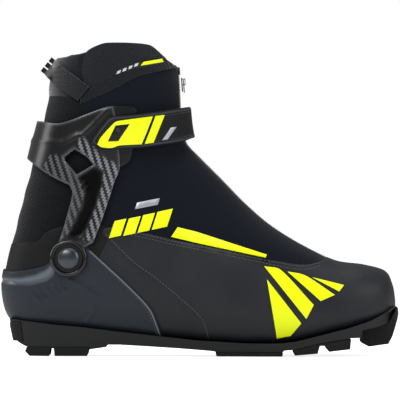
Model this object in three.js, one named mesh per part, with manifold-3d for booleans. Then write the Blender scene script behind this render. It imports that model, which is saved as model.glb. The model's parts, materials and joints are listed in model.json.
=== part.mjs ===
// Cross country skate boot, right foot. Millimetres, +Z up, +X towards the toe, lateral side at -Y.
// The origin is on the floor, under the middle of the boot's length and width.
import * as THREE from 'three';
import { mergeVertices } from 'three/addons/utils/BufferGeometryUtils.js';
import Module from 'manifold-3d';

const wasm = await Module();
wasm.setup();

// Driving dimensions
const bootLength = 292;
const bootHeight = 228.6;
const ballWidth = 98;
const clearance = 0.3; // gap between pieces that touch
const skin = 1.5; // fabric and leather outer layer
const linerInner = -5.5; // padded liner, from the outer surface inwards
const linerOuter = -1.8;
const laceInner = linerInner + 0.9; // laces lie on the tongue
const tongueOuter = linerInner - 1; // tongue lies inside the liner
const tongueInner = tongueOuter - 2.5;
const counterProud = 1.5; // heel counter stands out from the skins
const cuffInner = 2.2;
const cuffOuter = 4.6;
const webOuter = 3.3; // recessed web between the arms
const wingOuter = 3.8;
const strapInner = cuffOuter + 0.6; // strap passes over the cuff
const strapOuter = strapInner + 2;
const pivotBoss = 13;
const rivetRadius = 3;
const washerRadius = 10.3;
const nutRadius = 6;
const nutInner = -4.2;
const nutOuter = -2.8;
const capRadius = 7.8;
const capHeight = 3.2;
const pivotX = -95.4;
const pivotZ = 71.8;
const lowerFront = 25; // degrees round the pivot where the lower boot's fabric stops in front
const upperFront = 42; // and where the shaft's fabric starts
const upperBack = 156;
const lowerBack = 163;
const flexRadius = 16; // fabric of the shaft stays this far from the pivot
const grooveWidth = 7; // guide grooves of the forefoot sole
const centreTread = 10;
const treadDepth = 3.1;
const heelTreadDepth = 6.6;
const toeBarRadius = 2;
const toeBarX = 127;
const toeBarZ = 11;
const toeSlotHalf = 19;
const toeSlotLength = 14;
const toeBlockHalf = 24;
const soleLip = 1.2; // the sole's edge stands this far above the feather line
const boardThickness = 2;
const boardTop = 1.2; // above the feather line
const linerFloor = 1.5;
const footbedTop = 7.4;
const strapHingeX = -46;
const zipHalf = 1.3; // half of one row of teeth, across
const sliderWidth = 8;
const sliderLength = 10;
const sliderThickness = 0.9;
const pullLength = 11;
const buttonTravel = 2.5;

// Overall size: x and z of the design stretch with length and height, y with the ball width.
const sx = bootLength / 292;
const sz = bootHeight / 228.6;
const sy = ballWidth / 98;
const P = (list) => list.map(([x, z]) => [x * sx, z * sz]);
const px = pivotX * sx;
const pz = pivotZ * sz;

// Cross sections from the toe, round the heel and up to the collar:
// bottom or back point (x, z), top or front point (x, z), half width, sideways shift.
const draft = [
  [143.8, 34, 144.2, 42, 8, 9], [141, 27, 142.5, 52, 20, 8], [134, 23, 137, 62, 31, 6],
  [120, 18, 121, 66.8, 40, 3.5], [100, 13, 100, 70, 46, 1.5], [75, 7.5, 76, 81, 49, 0.5],
  [48, 5.5, 52, 96, 49, -0.5], [18, 6.5, 33, 112.5, 45.5, -1.5], [-12, 8.5, 18, 128, 41, -1],
  [-42, 11.5, 8, 138, 38, 0], [-72, 14, 1.5, 144.5, 37, 0], [-102, 17, -3, 149, 37, 0],
  [-126, 20, -6.5, 152.5, 37, 0], [-140, 30, -9, 155.7, 37, 0], [-144.5, 50, -10.5, 159, 37.5, 0],
  [-142, 68, -11.5, 163, 38.5, 0], [-137, 88, -12.3, 168, 39.5, 0], [-131, 112, -13, 174, 40.5, 0],
  [-124, 138, -13.6, 181, 41.5, 0], [-118.5, 160, -14, 189, 42, 0], [-113, 182, -14.4, 198, 42.5, 0],
  [-110.5, 199, -15, 207, 43, 0], [-108, 216, -16, 218, 43.5, 0], [-106, 234, -17, 234, 44, 0],
];
const sections = draft.map(([bx, bz, tx, tz, w, c]) => ({
  b: [bx * sx, bz * sz],
  t: [tx * sx, tz * sz],
  w: w * sy,
  c: c * sy,
}));
const ringPoints = 20;
const belly = 0.4; // where a section is widest, from its bottom point
const square = 2.4;

// Line where the upper meets the sole, heel to toe.
const featherLine = P([
  [-150, 27], [-135, 25.5], [-122, 23.9], [-105, 21.7], [-87, 20.2], [-58, 16.5], [-26, 13], [0, 10.2],
  [35, 8.3], [58, 8.3], [71, 9.9], [89, 14.5], [109, 19.6], [125, 24.8], [134, 29.4], [150, 39],
]);

function lineAt(list, x) {
  for (let i = 1; i < list.length; i++) {
    const [x0, z0] = list[i - 1];
    const [x1, z1] = list[i];
    if (x <= x1 || i === list.length - 1) return z0 + ((z1 - z0) * (x - x0)) / (x1 - x0);
  }
  return list[0][1];
}

const feather = (x) => lineAt(featherLine, x);

// ---------------------------------------------------------------- solids

function toSolid(geometry) {
  const g = geometry.clone();
  for (const name of Object.keys(g.attributes)) {
    if (name !== 'position') g.deleteAttribute(name);
  }
  const merged = mergeVertices(g, 1e-4);
  const solid = new wasm.Manifold(new wasm.Mesh({
    numProp: 3,
    vertProperties: Float32Array.from(merged.attributes.position.array),
    triVerts: Uint32Array.from(merged.index.array),
  }));
  return solid;
}

function fromTriangles(points, faces) {
  const g = new THREE.BufferGeometry();
  g.setAttribute('position', new THREE.Float32BufferAttribute(points.flat(), 3));
  g.setIndex(faces.flat());
  return g;
}

// Side view outline made solid between two y values.
function prism(outline, y0 = -80, y1 = 80) {
  const shape = new THREE.Shape(outline.map(([x, z]) => new THREE.Vector2(x, z)));
  const g = new THREE.ExtrudeGeometry(shape, { depth: y1 - y0, bevelEnabled: false });
  g.rotateX(Math.PI / 2);
  g.translate(0, y1, 0);
  return toSolid(g);
}

// Plan outline made solid between two z values.
function slab(outline, z0, z1) {
  const shape = new THREE.Shape(outline.map(([x, y]) => new THREE.Vector2(x, y)));
  const g = new THREE.ExtrudeGeometry(shape, { depth: z1 - z0, bevelEnabled: false });
  g.translate(0, 0, z0);
  return toSolid(g);
}

function box(x0, x1, y0, y1, z0, z1) {
  const g = new THREE.BoxGeometry(x1 - x0, y1 - y0, z1 - z0);
  g.translate((x0 + x1) / 2, (y0 + y1) / 2, (z0 + z1) / 2);
  return toSolid(g);
}

// Round pin along Y.
function pinY(radius, x, z, y0, y1, sides = 20) {
  const g = new THREE.CylinderGeometry(radius, radius, y1 - y0, sides);
  g.translate(x, (y0 + y1) / 2, z);
  return toSolid(g);
}

function sideNormals(list) {
  return list.map((p, i) => {
    const a = list[Math.max(i - 1, 0)];
    const b = list[Math.min(i + 1, list.length - 1)];
    const d = new THREE.Vector2(b[0] - a[0], b[1] - a[1]).normalize();
    return [d.y, -d.x];
  });
}

const bottoms = sections.map((s) => s.b);
const tops = sections.map((s) => s.t);
const bottomNormals = sideNormals(bottoms).map(([x, z]) => [-x, -z]);
const topNormals = sideNormals(tops);

function offsetSection(i, d) {
  const s = sections[i];
  const nb = bottomNormals[i];
  const nt = topNormals[i];
  const pull = i === 0 ? 0.5 : 1;
  return {
    b: [s.b[0] + nb[0] * d * pull, s.b[1] + nb[1] * d * pull],
    t: [s.t[0] + nt[0] * d * pull, s.t[1] + nt[1] * d * pull],
    w: s.w + d,
    c: s.c,
  };
}

function ringPoint(s, a) {
  const c = Math.cos(a);
  const power = 2 / square;
  const along = c > 0 ? belly * (1 - c ** power) : belly + (1 - belly) * (-c) ** power;
  const y = s.c - Math.sign(Math.sin(a)) * s.w * Math.abs(Math.sin(a)) ** power;
  return [s.b[0] + (s.t[0] - s.b[0]) * along, y, s.b[1] + (s.t[1] - s.b[1]) * along];
}

// The closed last shape, offset outwards by d.
const lofts = new Map();
function loft(d, first = 0, last = sections.length - 1) {
  const key = `${d} ${first} ${last}`;
  if (lofts.has(key)) return lofts.get(key);
  const points = [];
  const faces = [];
  for (let i = first; i <= last; i++) {
    const s = offsetSection(i, d);
    for (let k = 0; k < ringPoints; k++) points.push(ringPoint(s, (2 * Math.PI * k) / ringPoints));
  }
  const rings = last - first + 1;
  for (let r = 0; r < rings - 1; r++) {
    for (let k = 0; k < ringPoints; k++) {
      const n = (k + 1) % ringPoints;
      const a = r * ringPoints;
      const b = a + ringPoints;
      faces.push([a + k, b + k, a + n], [a + n, b + k, b + n]);
    }
  }
  for (const [ring, flip] of [[0, false], [rings - 1, true]]) {
    const base = ring * ringPoints;
    for (let k = 1; k < ringPoints - 1; k++) {
      faces.push(flip ? [base, base + k + 1, base + k] : [base, base + k, base + k + 1]);
    }
  }
  let solid = toSolid(fromTriangles(points, faces));
  if (solid.volume() < 0) solid = toSolid(fromTriangles(points, faces.map(([a, b, c]) => [a, c, b])));
  lofts.set(key, solid);
  return solid;
}

const shells = new Map();
function shell(inner, outer) {
  const key = `${inner} ${outer}`;
  if (!shells.has(key)) shells.set(key, loft(outer).subtract(loft(inner)));
  return shells.get(key);
}

// Half width of the boot at a side view point, offset d, on one side (-1 lateral, 1 medial).
function surfaceY(x, z, side, d = 0) {
  let best = null;
  for (let i = 0; i < sections.length - 1; i++) {
    const s0 = offsetSection(i, d);
    const s1 = offsetSection(i + 1, d);
    const cross = (s) => (s.t[0] - s.b[0]) * (z - s.b[1]) - (s.t[1] - s.b[1]) * (x - s.b[0]);
    const c0 = cross(s0);
    const c1 = cross(s1);
    if (c0 * c1 > 0) continue;
    let lo = 0;
    let hi = 1;
    const mix = (u) => ({
      b: [s0.b[0] + (s1.b[0] - s0.b[0]) * u, s0.b[1] + (s1.b[1] - s0.b[1]) * u],
      t: [s0.t[0] + (s1.t[0] - s0.t[0]) * u, s0.t[1] + (s1.t[1] - s0.t[1]) * u],
      w: s0.w + (s1.w - s0.w) * u,
      c: s0.c + (s1.c - s0.c) * u,
    });
    for (let n = 0; n < 30; n++) {
      const mid = (lo + hi) / 2;
      if (cross(mix(mid)) * c0 > 0) lo = mid;
      else hi = mid;
    }
    const s = mix(lo);
    const dx = s.t[0] - s.b[0];
    const dz = s.t[1] - s.b[1];
    const v = ((x - s.b[0]) * dx + (z - s.b[1]) * dz) / (dx * dx + dz * dz);
    if (v < 0 || v > 1) continue;
    const q = v < belly ? 1 - v / belly : (v - belly) / (1 - belly);
    best = s.c + side * s.w * Math.max(0, 1 - q ** square) ** (1 / square);
    break;
  }
  return best;
}

// ---------------------------------------------------------------- outlines

const deg = Math.PI / 180;

function ray(angle, length = 260) {
  return [px + Math.cos(angle * deg) * length, pz + Math.sin(angle * deg) * length];
}

const circle = (cx, cz, r, sides = 20) => Array.from({ length: sides }, (_, k) => [
  cx + r * Math.cos((2 * Math.PI * k) / sides),
  cz + r * Math.sin((2 * Math.PI * k) / sides),
]);

// Everything above the flex line belongs to the shaft, everything below to the foot.
const shaftZone = prism([[px, pz], ray(upperFront), [300, 300], [-300, 300], ray(upperBack)]);
const footZone = prism([
  [px, pz], ray(lowerBack), [-400, 200], [-400, -50], [400, -50], [400, 200], ray(lowerFront),
]);
const frontFlexZone = prism([[px, pz], ray(lowerFront + 0.4), ray(upperFront - 0.4)]);
const backFlexZone = prism([[px, pz], ray(upperBack + 0.6), ray(lowerBack - 0.6)]);
const pivotClear = prism(circle(px, pz, flexRadius));
const lateral = box(-300, 300, -100, -clearance / 2, -50, 400);
const medial = box(-300, 300, clearance / 2, 100, -50, 400);

const vampTop = P([
  [-70.8, 92.9], [-54.7, 93.3], [-36.6, 89.7], [-18.7, 85.5], [0.4, 81.8], [44.4, 72.7], [66.4, 68.3],
  [77.4, 67.5], [88.4, 70.1], [94, 74], [96, 90],
]);
const quarterSeam = P([[-70.8, 92.9], [-49.5, 68], [-34, 57], [-10.6, 37.4], [0.4, 26], [5, 11.2], [6, 0]]);
const counterFront = P([[-78.5, 76.7], [-52.8, 53.2], [-38.8, 39.3], [-33.2, 31.8], [-25.7, 13], [-24, 5]]);
const counterTop = P([
  [-160, 62.5], [-133.6, 62], [-121.7, 64], [-113.5, 66], [-109.4, 68.6], [-106.8, 71.3],
  [-105, 78], [-100.5, 82.6], [-95.4, 84.3], [-89, 83], [-84, 79.5], [-78.5, 76.7],
]);
const panelTop = P([[-160, 82], [-137.7, 82.6], [-118, 84], [-110.5, 91.4], [-101, 94.5], [-92, 96]]);

const above = (line, top = 400) => [...line, [line.at(-1)[0], top], [line[0][0], top]];

// Region between the feather line and far above it, raised by dz.
const aboveFeather = (dz) => prism([
  ...featherLine.map(([x, z]) => [x, z + dz]), [200, 400], [-200, 400],
]);
const betweenFeather = (dz0, dz1) => prism([
  ...featherLine.map(([x, z]) => [x, z + dz0]),
  ...featherLine.map(([x, z]) => [x, z + dz1]).reverse(),
]);

// ---------------------------------------------------------------- assembly helpers

const boot = new THREE.Group();

function mesh(name, solid, color, roughness, metalness = 0) {
  const m = solid.getMesh();
  const g = new THREE.BufferGeometry();
  const points = new Float32Array(m.numVert * 3);
  for (let i = 0; i < m.numVert; i++) {
    for (let k = 0; k < 3; k++) points[i * 3 + k] = m.vertProperties[i * m.numProp + k];
  }
  g.setAttribute('position', new THREE.BufferAttribute(points, 3));
  g.setIndex(Array.from(m.triVerts));
  const material = new THREE.MeshStandardMaterial({ color, roughness, metalness });
  const made = new THREE.Mesh(g, material);
  made.name = name;
  boot.add(made);
  return made;
}

// The largest body of a solid that cutting has left in several pieces.
function largest(solid) {
  const parts = solid.decompose();
  parts.sort((a, b) => b.volume() - a.volume());
  return parts[0];
}

const leather = [0x353537, 0.55];
const softshell = [0x14161f, 0.9];
const textured = [0x2c2d30, 0.95];
const black = [0x101012, 0.5];
const rubber = [0x2a2b2b, 0.8];
const foam = [0x1a1a1c, 0.95];
const steel = [0xb8bcc0, 0.3, 1];

// Domed cap, flat side down at y = 0, dome towards +y.
function domedCap(radius, height) {
  const profile = [new THREE.Vector2(0, 0), new THREE.Vector2(radius, 0)];
  for (let k = 1; k < 6; k++) {
    const a = (k / 6) * (Math.PI / 2);
    profile.push(new THREE.Vector2(radius * Math.cos(a), height * Math.sin(a)));
  }
  profile.push(new THREE.Vector2(0, height));
  return new THREE.LatheGeometry(profile, 24);
}

// ---------------------------------------------------------------- sole

const soleBottom = P([
  [-140, 14], [-134, 11], [-131, 9], [-127, 6.9], [-81, 6.9], [-80.7, 4.8], [-68.3, 6.6], [-66.9, 8.3],
  [-58.4, 8.3], [-14.3, 5.7], [7.7, 4], [12, 3.4], [61, 3.4], [62, 4.4], [68, 4.8], [87, 9.6],
  [110, 13.4], [118, 13.6], [118.6, 15.5], [136, 18.6], [143, 26],
]);

function soleOutline(inset) {
  const count = 30;
  const x0 = -138.5 * sx;
  const x1 = 143.6 * sx;
  const right = [];
  const left = [];
  for (let k = 0; k <= count; k++) {
    const x = (x0 + x1) / 2 - ((x1 - x0) / 2) * Math.cos((Math.PI * k) / count);
    const z = feather(x) + 8 * sz;
    const yl = surfaceY(x, z, -1);
    const ym = surfaceY(x, z, 1);
    if (yl === null || ym === null || ym - yl < 6) continue;
    const mid = (ym + yl) / 2;
    right.push([x, Math.min(mid - 2, yl + inset)]);
    left.push([x, Math.max(mid + 2, ym - inset)]);
  }
  const outline = [...right, ...left.reverse()];
  const xs = outline.map((p) => p[0]);
  const middle = (Math.min(...xs) + Math.max(...xs)) / 2;
  const half = (Math.max(...xs) - Math.min(...xs)) / 2;
  return outline.map(([x, y]) => [middle + (x - middle) * (1 - inset / half), y]);
}

// Sole body: side walls lean in towards the ground.
const soleLevels = [[-1, 4.2], [6, 2.6], [14, 1], [22, -0.6], [44, -0.8]];
function soleBlock() {
  const rings = soleLevels.map(([z, inset]) => soleOutline(inset).map(([x, y]) => [x, y, z * sz]));
  const n = rings[0].length;
  const points = rings.flat();
  const faces = [];
  for (let r = 0; r < rings.length - 1; r++) {
    for (let k = 0; k < n; k++) {
      const m = (k + 1) % n;
      faces.push([r * n + k, r * n + m, (r + 1) * n + k], [r * n + m, (r + 1) * n + m, (r + 1) * n + k]);
    }
  }
  const top = (rings.length - 1) * n;
  const flat = THREE.ShapeUtils.triangulateShape(rings[0].map(([x, y]) => new THREE.Vector2(x, y)), []);
  for (const [a, b, c] of flat) {
    faces.push([a, c, b]);
    faces.push([top + a, top + b, top + c]);
  }
  return toSolid(fromTriangles(points, faces));
}
const solePlan = soleBlock();

const soleSide = prism([
  ...soleBottom,
  ...featherLine.map(([x, z]) => [x, z + soleLip]).reverse(),
]);
const heelInsertZone = prism(P([[-150, 11], [-129, 11], [-131, 25], [-150, 25]]));
const upperCut = loft(clearance);
const toeTop = P([[118.6, 19], [130, 21.5], [138, 24], [144.4, 36], [148, 44]]);
const toeBlockZone = prism([...toeTop, ...P([[160, 44], [160, 0], [118.6, 0]])]);

const outsole = solePlan.intersect(soleSide).subtract(upperCut).subtract(toeBlockZone);
const insertZone = solePlan.intersect(heelInsertZone).subtract(upperCut);
const insertPocket = prism(P([[-150, 10.7], [-128.7, 10.7], [-130.7, 25.3], [-150, 25.3]]));
mesh('outsole', largest(outsole.subtract(insertPocket)), ...rubber);
mesh('heel_insert', largest(insertZone.intersect(aboveFeather(-30))), 0x0c0c0d, 0.6);

// Toe block with its slot and the steel bar that a binding holds.
const toeSide = prism([
  ...P([[118.9, 9.5], [124, 6.8], [138.4, 8.8], [141.3, 14.3], [145.4, 27.5], [146, 31.2], [145.4, 35.5]]),
  ...toeTop.slice(0, -1).reverse().map(([x, z], k) => [x + clearance, z - (k ? clearance : 1)]),
]);
const slotX = toeBarX * sx;
const toeSlot = box(
  slotX - toeSlotLength / 2, slotX + toeSlotLength / 2,
  -toeSlotHalf + 3, toeSlotHalf + 3, -5, (toeBarZ + 4.5) * sz,
);
const toeBarHole = pinY(
  toeBarRadius + clearance, slotX, toeBarZ * sz, -toeSlotHalf - 1.5, toeSlotHalf + 7.5, 16,
);
const toeBlock = box(110 * sx, 147 * sx, -toeBlockHalf + 3, toeBlockHalf + 3, -5, 60)
  .intersect(toeSide)
  .intersect(slab(soleOutline(-2.4).map(([x, y]) => [x + 2.4, y]), -5, 60));
mesh('toe_block', largest(toeBlock.subtract(toeSlot).subtract(toeBarHole).subtract(upperCut)), 0x1c1d1d, 0.7);
mesh('toe_bar', pinY(toeBarRadius, slotX, toeBarZ * sz, -toeSlotHalf - 1.2, toeSlotHalf + 7.2, 16), ...steel);

// Tread blocks.
const heelTread = prism(P([
  [-128, 3.4], [-124.4, 0], [-110, 0], [-109.3, 5.6], [-106.7, 5.6], [-106, 0], [-82.4, 0], [-81.6, 2.4],
  [-81.6, heelTreadDepth], [-126.6, heelTreadDepth],
]));
const forefootTread = prism([
  [12.4 * sx, 0], [60.6 * sx, 0], [61 * sx, treadDepth * sz], [11.6 * sx, treadDepth * sz],
]);
const frontTread = prism(P([
  [69.4, 0.7], [86.2, 2.2], [87.7, 7.9], [91.8, 7.9], [94.3, 3.5], [110, 5.2], [110.6, 12.9], [92, 10],
  [87, 9.2], [69, 4.6],
]));
const rows = [
  ['lateral', -60, -centreTread / 2 - grooveWidth],
  ['centre', -centreTread / 2, centreTread / 2],
  ['medial', centreTread / 2 + grooveWidth, 60],
];
for (const [row, y0, y1] of rows) {
  const zone = box(-300, 300, y0, y1, -5, 50);
  mesh(`forefoot_tread_${row}`, largest(forefootTread.intersect(solePlan).intersect(zone)), ...black);
  mesh(`front_tread_${row}`, largest(frontTread.intersect(solePlan).intersect(zone)), ...black);
  if (row !== 'centre') {
    mesh(`heel_tread_${row}`, largest(heelTread.intersect(solePlan).intersect(zone)), ...black);
  }
}

// ---------------------------------------------------------------- inside the foot

const insoleBoard = loft(linerOuter - clearance)
  .intersect(betweenFeather(boardTop - boardThickness, boardTop));
mesh('insole_board', largest(insoleBoard), 0x3a3632, 0.9);
const footbedZone = betweenFeather(linerFloor, footbedTop);
mesh('footbed', largest(loft(linerInner - clearance).intersect(footbedZone)), 0x4a4c50, 0.95);

// Throat under the lace cover: the liner is open there and the tongue and laces fill it.
const throatHalf = 19;
const throatFront = P([
  [60, 70], [60, 60], [20, 90], [-30, 120], [-30, 140], [-34, 150], [-34, 300], [60, 300],
]);
const throatZone = prism(throatFront, -throatHalf, throatHalf);
const linerTop = P([
  [-130, 214], [-100, 219], [-82, 222.5], [-73, 227], [-67, 228.4], [-49.5, 228.4], [-35.6, 227],
  [-29, 222.8], [-24.6, 218.4], [-20.2, 213.2], [-5, 213.2],
]);
const belowLinerTop = prism([...linerTop, [60, 213.2], [60, -40], [-200, -40], [-200, 214]]);
const nutPocket = pinY(nutRadius + 0.6, px, pz, -80, 80).intersect(shell(nutInner - 0.6, 0));
const linerShell = shell(linerInner, linerOuter).intersect(belowLinerTop).subtract(throatZone)
  .subtract(nutPocket);
mesh('liner_foot', largest(linerShell.intersect(aboveFeather(linerFloor)).intersect(footZone)), ...foam);
mesh('liner_shaft', largest(linerShell.intersect(shaftZone).subtract(pivotClear)), ...foam);

// Pocket in the tongue for the lace lock, which sits behind the zip.
const lockX = -19.8 * sx;
const lockZ = 186 * sz;
const lockDepth = 6; // along X
const lockWidth = 14;
const lockHeight = 13;
const lockPocket = box(
  lockX - 20, lockX + 20, -lockWidth / 2 - 0.6, lockWidth / 2 + 0.6,
  lockZ - lockHeight / 2 - 7, lockZ + lockHeight / 2 + 4,
);
const tongueZone = prism(
  P([[62, 60], [62, 200], [-20, 228], [-60, 228], [-36, 150], [-34, 130], [0, 95], [30, 74]]), -24, 24);
const tongue = shell(tongueInner, tongueOuter).intersect(tongueZone).intersect(belowLinerTop);
mesh('tongue_foot', largest(tongue.intersect(footZone)), ...foam);
mesh('tongue_shin', largest(tongue.intersect(shaftZone).subtract(lockPocket)), ...foam);

// ---------------------------------------------------------------- foot skins

const skins = shell(-skin, 0).intersect(aboveFeather(-1));
const vampZone = prism([
  ...vampTop.slice(0, -1).map(([x, z]) => [x, z - 0.2]),
  ...P([[96, 90], [160, 90], [160, 0]]),
  ...quarterSeam.slice(1).reverse().map(([x, z]) => [x + 0.2, z]),
]);
mesh('vamp', largest(skins.intersect(vampZone).intersect(footZone)), ...leather);
const quarterZone = prism([
  ...counterFront.map(([x, z]) => [x + 0.35, z]),
  ...quarterSeam.slice().reverse().map(([x, z]) => [x - 0.2, z]),
]);
const quarter = skins.intersect(quarterZone).intersect(footZone).subtract(pivotClear);
mesh('quarter_lateral', largest(quarter.intersect(lateral)), 0x24272e, 0.7);
mesh('quarter_medial', largest(quarter.intersect(medial)), 0x24272e, 0.7);

const counterZone = prism([...counterTop, ...counterFront, ...P([[-30, -20], [-160, -20]])]);
const rivetHole = pinY(rivetRadius + clearance, px, pz, -80, 80);
const counter = shell(-skin, counterProud).intersect(counterZone).intersect(aboveFeather(soleLip + clearance))
  .subtract(rivetHole);
const counterClear = prism([
  ...counterTop.map(([x, z]) => [x, z + 0.35]), ...counterFront.map(([x, z]) => [x + 0.35, z + 0.3]),
  ...P([[-30, -20], [-160, -20]]),
]);
mesh('heel_counter', largest(counter), 0x2d323b, 0.45);

const ankle = shell(-skin, 0).subtract(counterClear);
const ankleZone = prism([...panelTop, ...P([[-80, 80], [-80, 60], [-160, 50]])]);
const anklePanel = ankle.intersect(ankleZone).intersect(footZone).subtract(pivotClear);
mesh('ankle_panel', largest(anklePanel), 0x202329, 0.5);

// ---------------------------------------------------------------- lace cover, zip and laces

const coverZone = prism([...vampTop.slice(0, -1), [95.5 * sx, 90 * sz], ...P([[60, 160], [-60, 160]])]);
const zipClear = box(-60, 300, -zipHalf - clearance, zipHalf + clearance, -50, 400);
const cover = shell(-skin, 0).intersect(coverZone).intersect(footZone).subtract(pivotClear);
mesh('lace_cover_lateral', largest(cover.intersect(lateral).subtract(zipClear)), ...softshell);
mesh('lace_cover_medial', largest(cover.intersect(medial).subtract(zipClear)), ...softshell);

const outerBandTop = P([
  [-130, 210], [-112, 208], [-100, 209.5], [-91, 211], [-86.7, 197], [-64.2, 204], [-45.4, 214],
  [-30, 219], [-19.5, 214], [0, 213.2],
]);
const belowBand = prism([...outerBandTop, [60, 213], [60, 0], [-200, 0], [-200, 210]]);
const textureSeam = P([[-60, 60], [-62, 140], [-72, 188], [-88, 192], [-92, 213], [-95, 300]]);
const textureZone = prism([...textureSeam, ...P([[-300, 300], [-300, 0], [-60, 0]])]);
const shaft = shell(-skin, 0).intersect(shaftZone).subtract(pivotClear);
mesh('collar_fabric', largest(shaft.intersect(textureZone).intersect(belowBand)), ...textured);
const shaftCover = shaft.intersect(belowBand)
  .subtract(prism([
    ...textureSeam.map(([x, z]) => [x + clearance, z]), ...P([[-300, 300], [-300, 0], [-60, 0]]),
  ]))
  .subtract(zipClear);
mesh('shaft_cover_lateral', largest(shaftCover.intersect(lateral)), ...softshell);
mesh('shaft_cover_medial', largest(shaftCover.intersect(medial)), ...softshell);

const collarTop = shaft.intersect(belowLinerTop)
  .subtract(prism([
    ...outerBandTop.map(([x, z]) => [x, z + clearance]), [60, 213.5], [60, 0], [-200, 0], [-200, 210.3],
  ]))
  .subtract(box(-40, 60, -zipHalf - clearance, zipHalf + clearance, 0, 300));
mesh('collar_top_lateral', largest(collarTop.intersect(lateral)), 0x141416, 0.95);
mesh('collar_top_medial', largest(collarTop.intersect(medial)), 0x141416, 0.95);

const frontFlex = shell(linerInner, 0).intersect(frontFlexZone).subtract(pivotClear).subtract(zipClear)
  .subtract(counterClear)
  .subtract(throatZone.intersect(loft(-skin - clearance)));
mesh('flex_gusset_lateral', largest(frontFlex.intersect(lateral)), ...softshell);
mesh('flex_gusset_medial', largest(frontFlex.intersect(medial)), ...softshell);
const backFlex = shell(linerInner, 0).intersect(backFlexZone).subtract(pivotClear);
mesh('achilles_gusset', largest(backFlex), ...textured);

// Zip teeth run from the vamp over the instep to the collar; the tape lies under them.
const zipRun = prism(P([
  [84, 77], [60, 130], [0, 206], [-40, 206], [-40, 140], [0, 110], [40, 80], [78, 60],
]));
const teeth = shell(-1.2, 0.8).intersect(zipRun);
mesh('zip_teeth_lateral', largest(teeth.intersect(box(-60, 300, -zipHalf, -0.15, 0, 400))), 0x17181a, 0.4);
mesh('zip_teeth_medial', largest(teeth.intersect(box(-60, 300, 0.15, zipHalf, 0, 400))), 0x17181a, 0.4);

// Laces zigzag under the cover, held in two rows of webbing loops.
const laceRadius = 1.1;
const laceHalf = 11.5;
const laceRows = 6;
const laceSag = 1.5;
const laceShaftHalf = 4;
const laceDepth = laceInner + laceRadius - 0.6;
const laceTopX = 22 * sx;
const laceFootX = 64 * sx;
const laceShaftFirst = 9; // sections that the lace passes on its way up to the lock
const laceShaftLast = 16;

// Height of the instep over the middle of the foot, offset d.
const ridge = sections.map((s, i) => offsetSection(i, laceDepth).t).slice(3, 12).reverse();
const ridgeZ = (x) => lineAt(ridge, x);

function laceRoute() {
  const points = [];
  for (let r = 0; r < laceRows; r++) {
    const x = laceFootX + ((laceTopX - laceFootX) * r) / (laceRows - 1);
    const side = r % 2 ? 1 : -1;
    points.push(new THREE.Vector3(x, -side * laceHalf, ridgeZ(x) - laceSag));
    points.push(new THREE.Vector3(x, side * laceHalf, ridgeZ(x) - laceSag));
  }
  for (let i = laceShaftFirst; i <= laceShaftLast; i++) {
    const share = (i - laceShaftFirst) / (laceShaftLast - laceShaftFirst);
    const { t } = offsetSection(i, laceDepth);
    points.push(new THREE.Vector3(t[0], laceShaftHalf * (1 - share), t[1]));
  }
  points.push(new THREE.Vector3(lockX, 0, lockZ - lockHeight / 2 - 2 * clearance));
  return points;
}

function tube(points, radius, steps, sides = 8) {
  const ring = circle(0, 0, radius, sides).map(([a, b]) => new THREE.Vector2(a, b));
  const path = new THREE.CatmullRomCurve3(points, false, 'centripetal');
  const settings = { steps, extrudePath: path, bevelEnabled: false };
  return toSolid(new THREE.ExtrudeGeometry(new THREE.Shape(ring), settings));
}

mesh('laces', tube(laceRoute(), laceRadius, 62), 0x2b2b2e, 0.9);

// Lace lock: a block with a sprung button in its top.
const buttonWidth = 8;
const buttonDepth = 3.4;
const buttonHeight = 5;
const lockTopZ = lockZ + lockHeight / 2;
const buttonFoot = lockTopZ - buttonHeight + buttonTravel + clearance;
const lockBody = box(
  lockX - lockDepth / 2, lockX + lockDepth / 2, -lockWidth / 2, lockWidth / 2,
  lockZ - lockHeight / 2, lockTopZ,
);
const buttonWell = box(
  lockX - buttonDepth / 2 - clearance, lockX + buttonDepth / 2 + clearance,
  -buttonWidth / 2 - clearance, buttonWidth / 2 + clearance,
  buttonFoot - buttonTravel - clearance, lockTopZ + 5,
);
mesh('lace_lock_body', lockBody.subtract(buttonWell), 0x1d1e20, 0.5);
mesh('lace_lock_button', box(
  lockX - buttonDepth / 2, lockX + buttonDepth / 2, -buttonWidth / 2, buttonWidth / 2,
  buttonFoot, buttonFoot + buttonHeight,
), 0xe6f200, 0.5);

// Webbing loop strips beside the throat, and the lock that pinches the lace end.
const loopZone = prism([...P([[16, 60], [16, 200]]), ...P([[68, 160], [68, 60]])]);
const loopStrip = shell(laceInner, linerOuter).intersect(loopZone);
mesh('lace_loops_lateral', largest(loopStrip.intersect(box(0, 100, -18.4, -14.6, 50, 200))), 0x3a3b3f, 0.9);
mesh('lace_loops_medial', largest(loopStrip.intersect(box(0, 100, 14.6, 18.4, 50, 200))), 0x3a3b3f, 0.9);

// ---------------------------------------------------------------- zip slider and pull

const zipTop = [-14.75 * sx, 204 * sz];
const zipFoot = [-12.3 * sx, 168 * sz];
const zipDown = new THREE.Vector2(zipFoot[0] - zipTop[0], zipFoot[1] - zipTop[1]).normalize();
const zipOut = new THREE.Vector2(-zipDown.y, zipDown.x);

// Block on the zip: along is measured down from the zip's top, out from the front surface.
function zipBlock(along0, along1, out0, out1, width) {
  const corner = (a, o) => [
    zipTop[0] + zipDown.x * a + zipOut.x * o,
    zipTop[1] + zipDown.y * a + zipOut.y * o,
  ];
  return prism([corner(along0, out0), corner(along1, out0), corner(along1, out1), corner(along0, out1)],
    -width / 2, width / 2);
}

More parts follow.
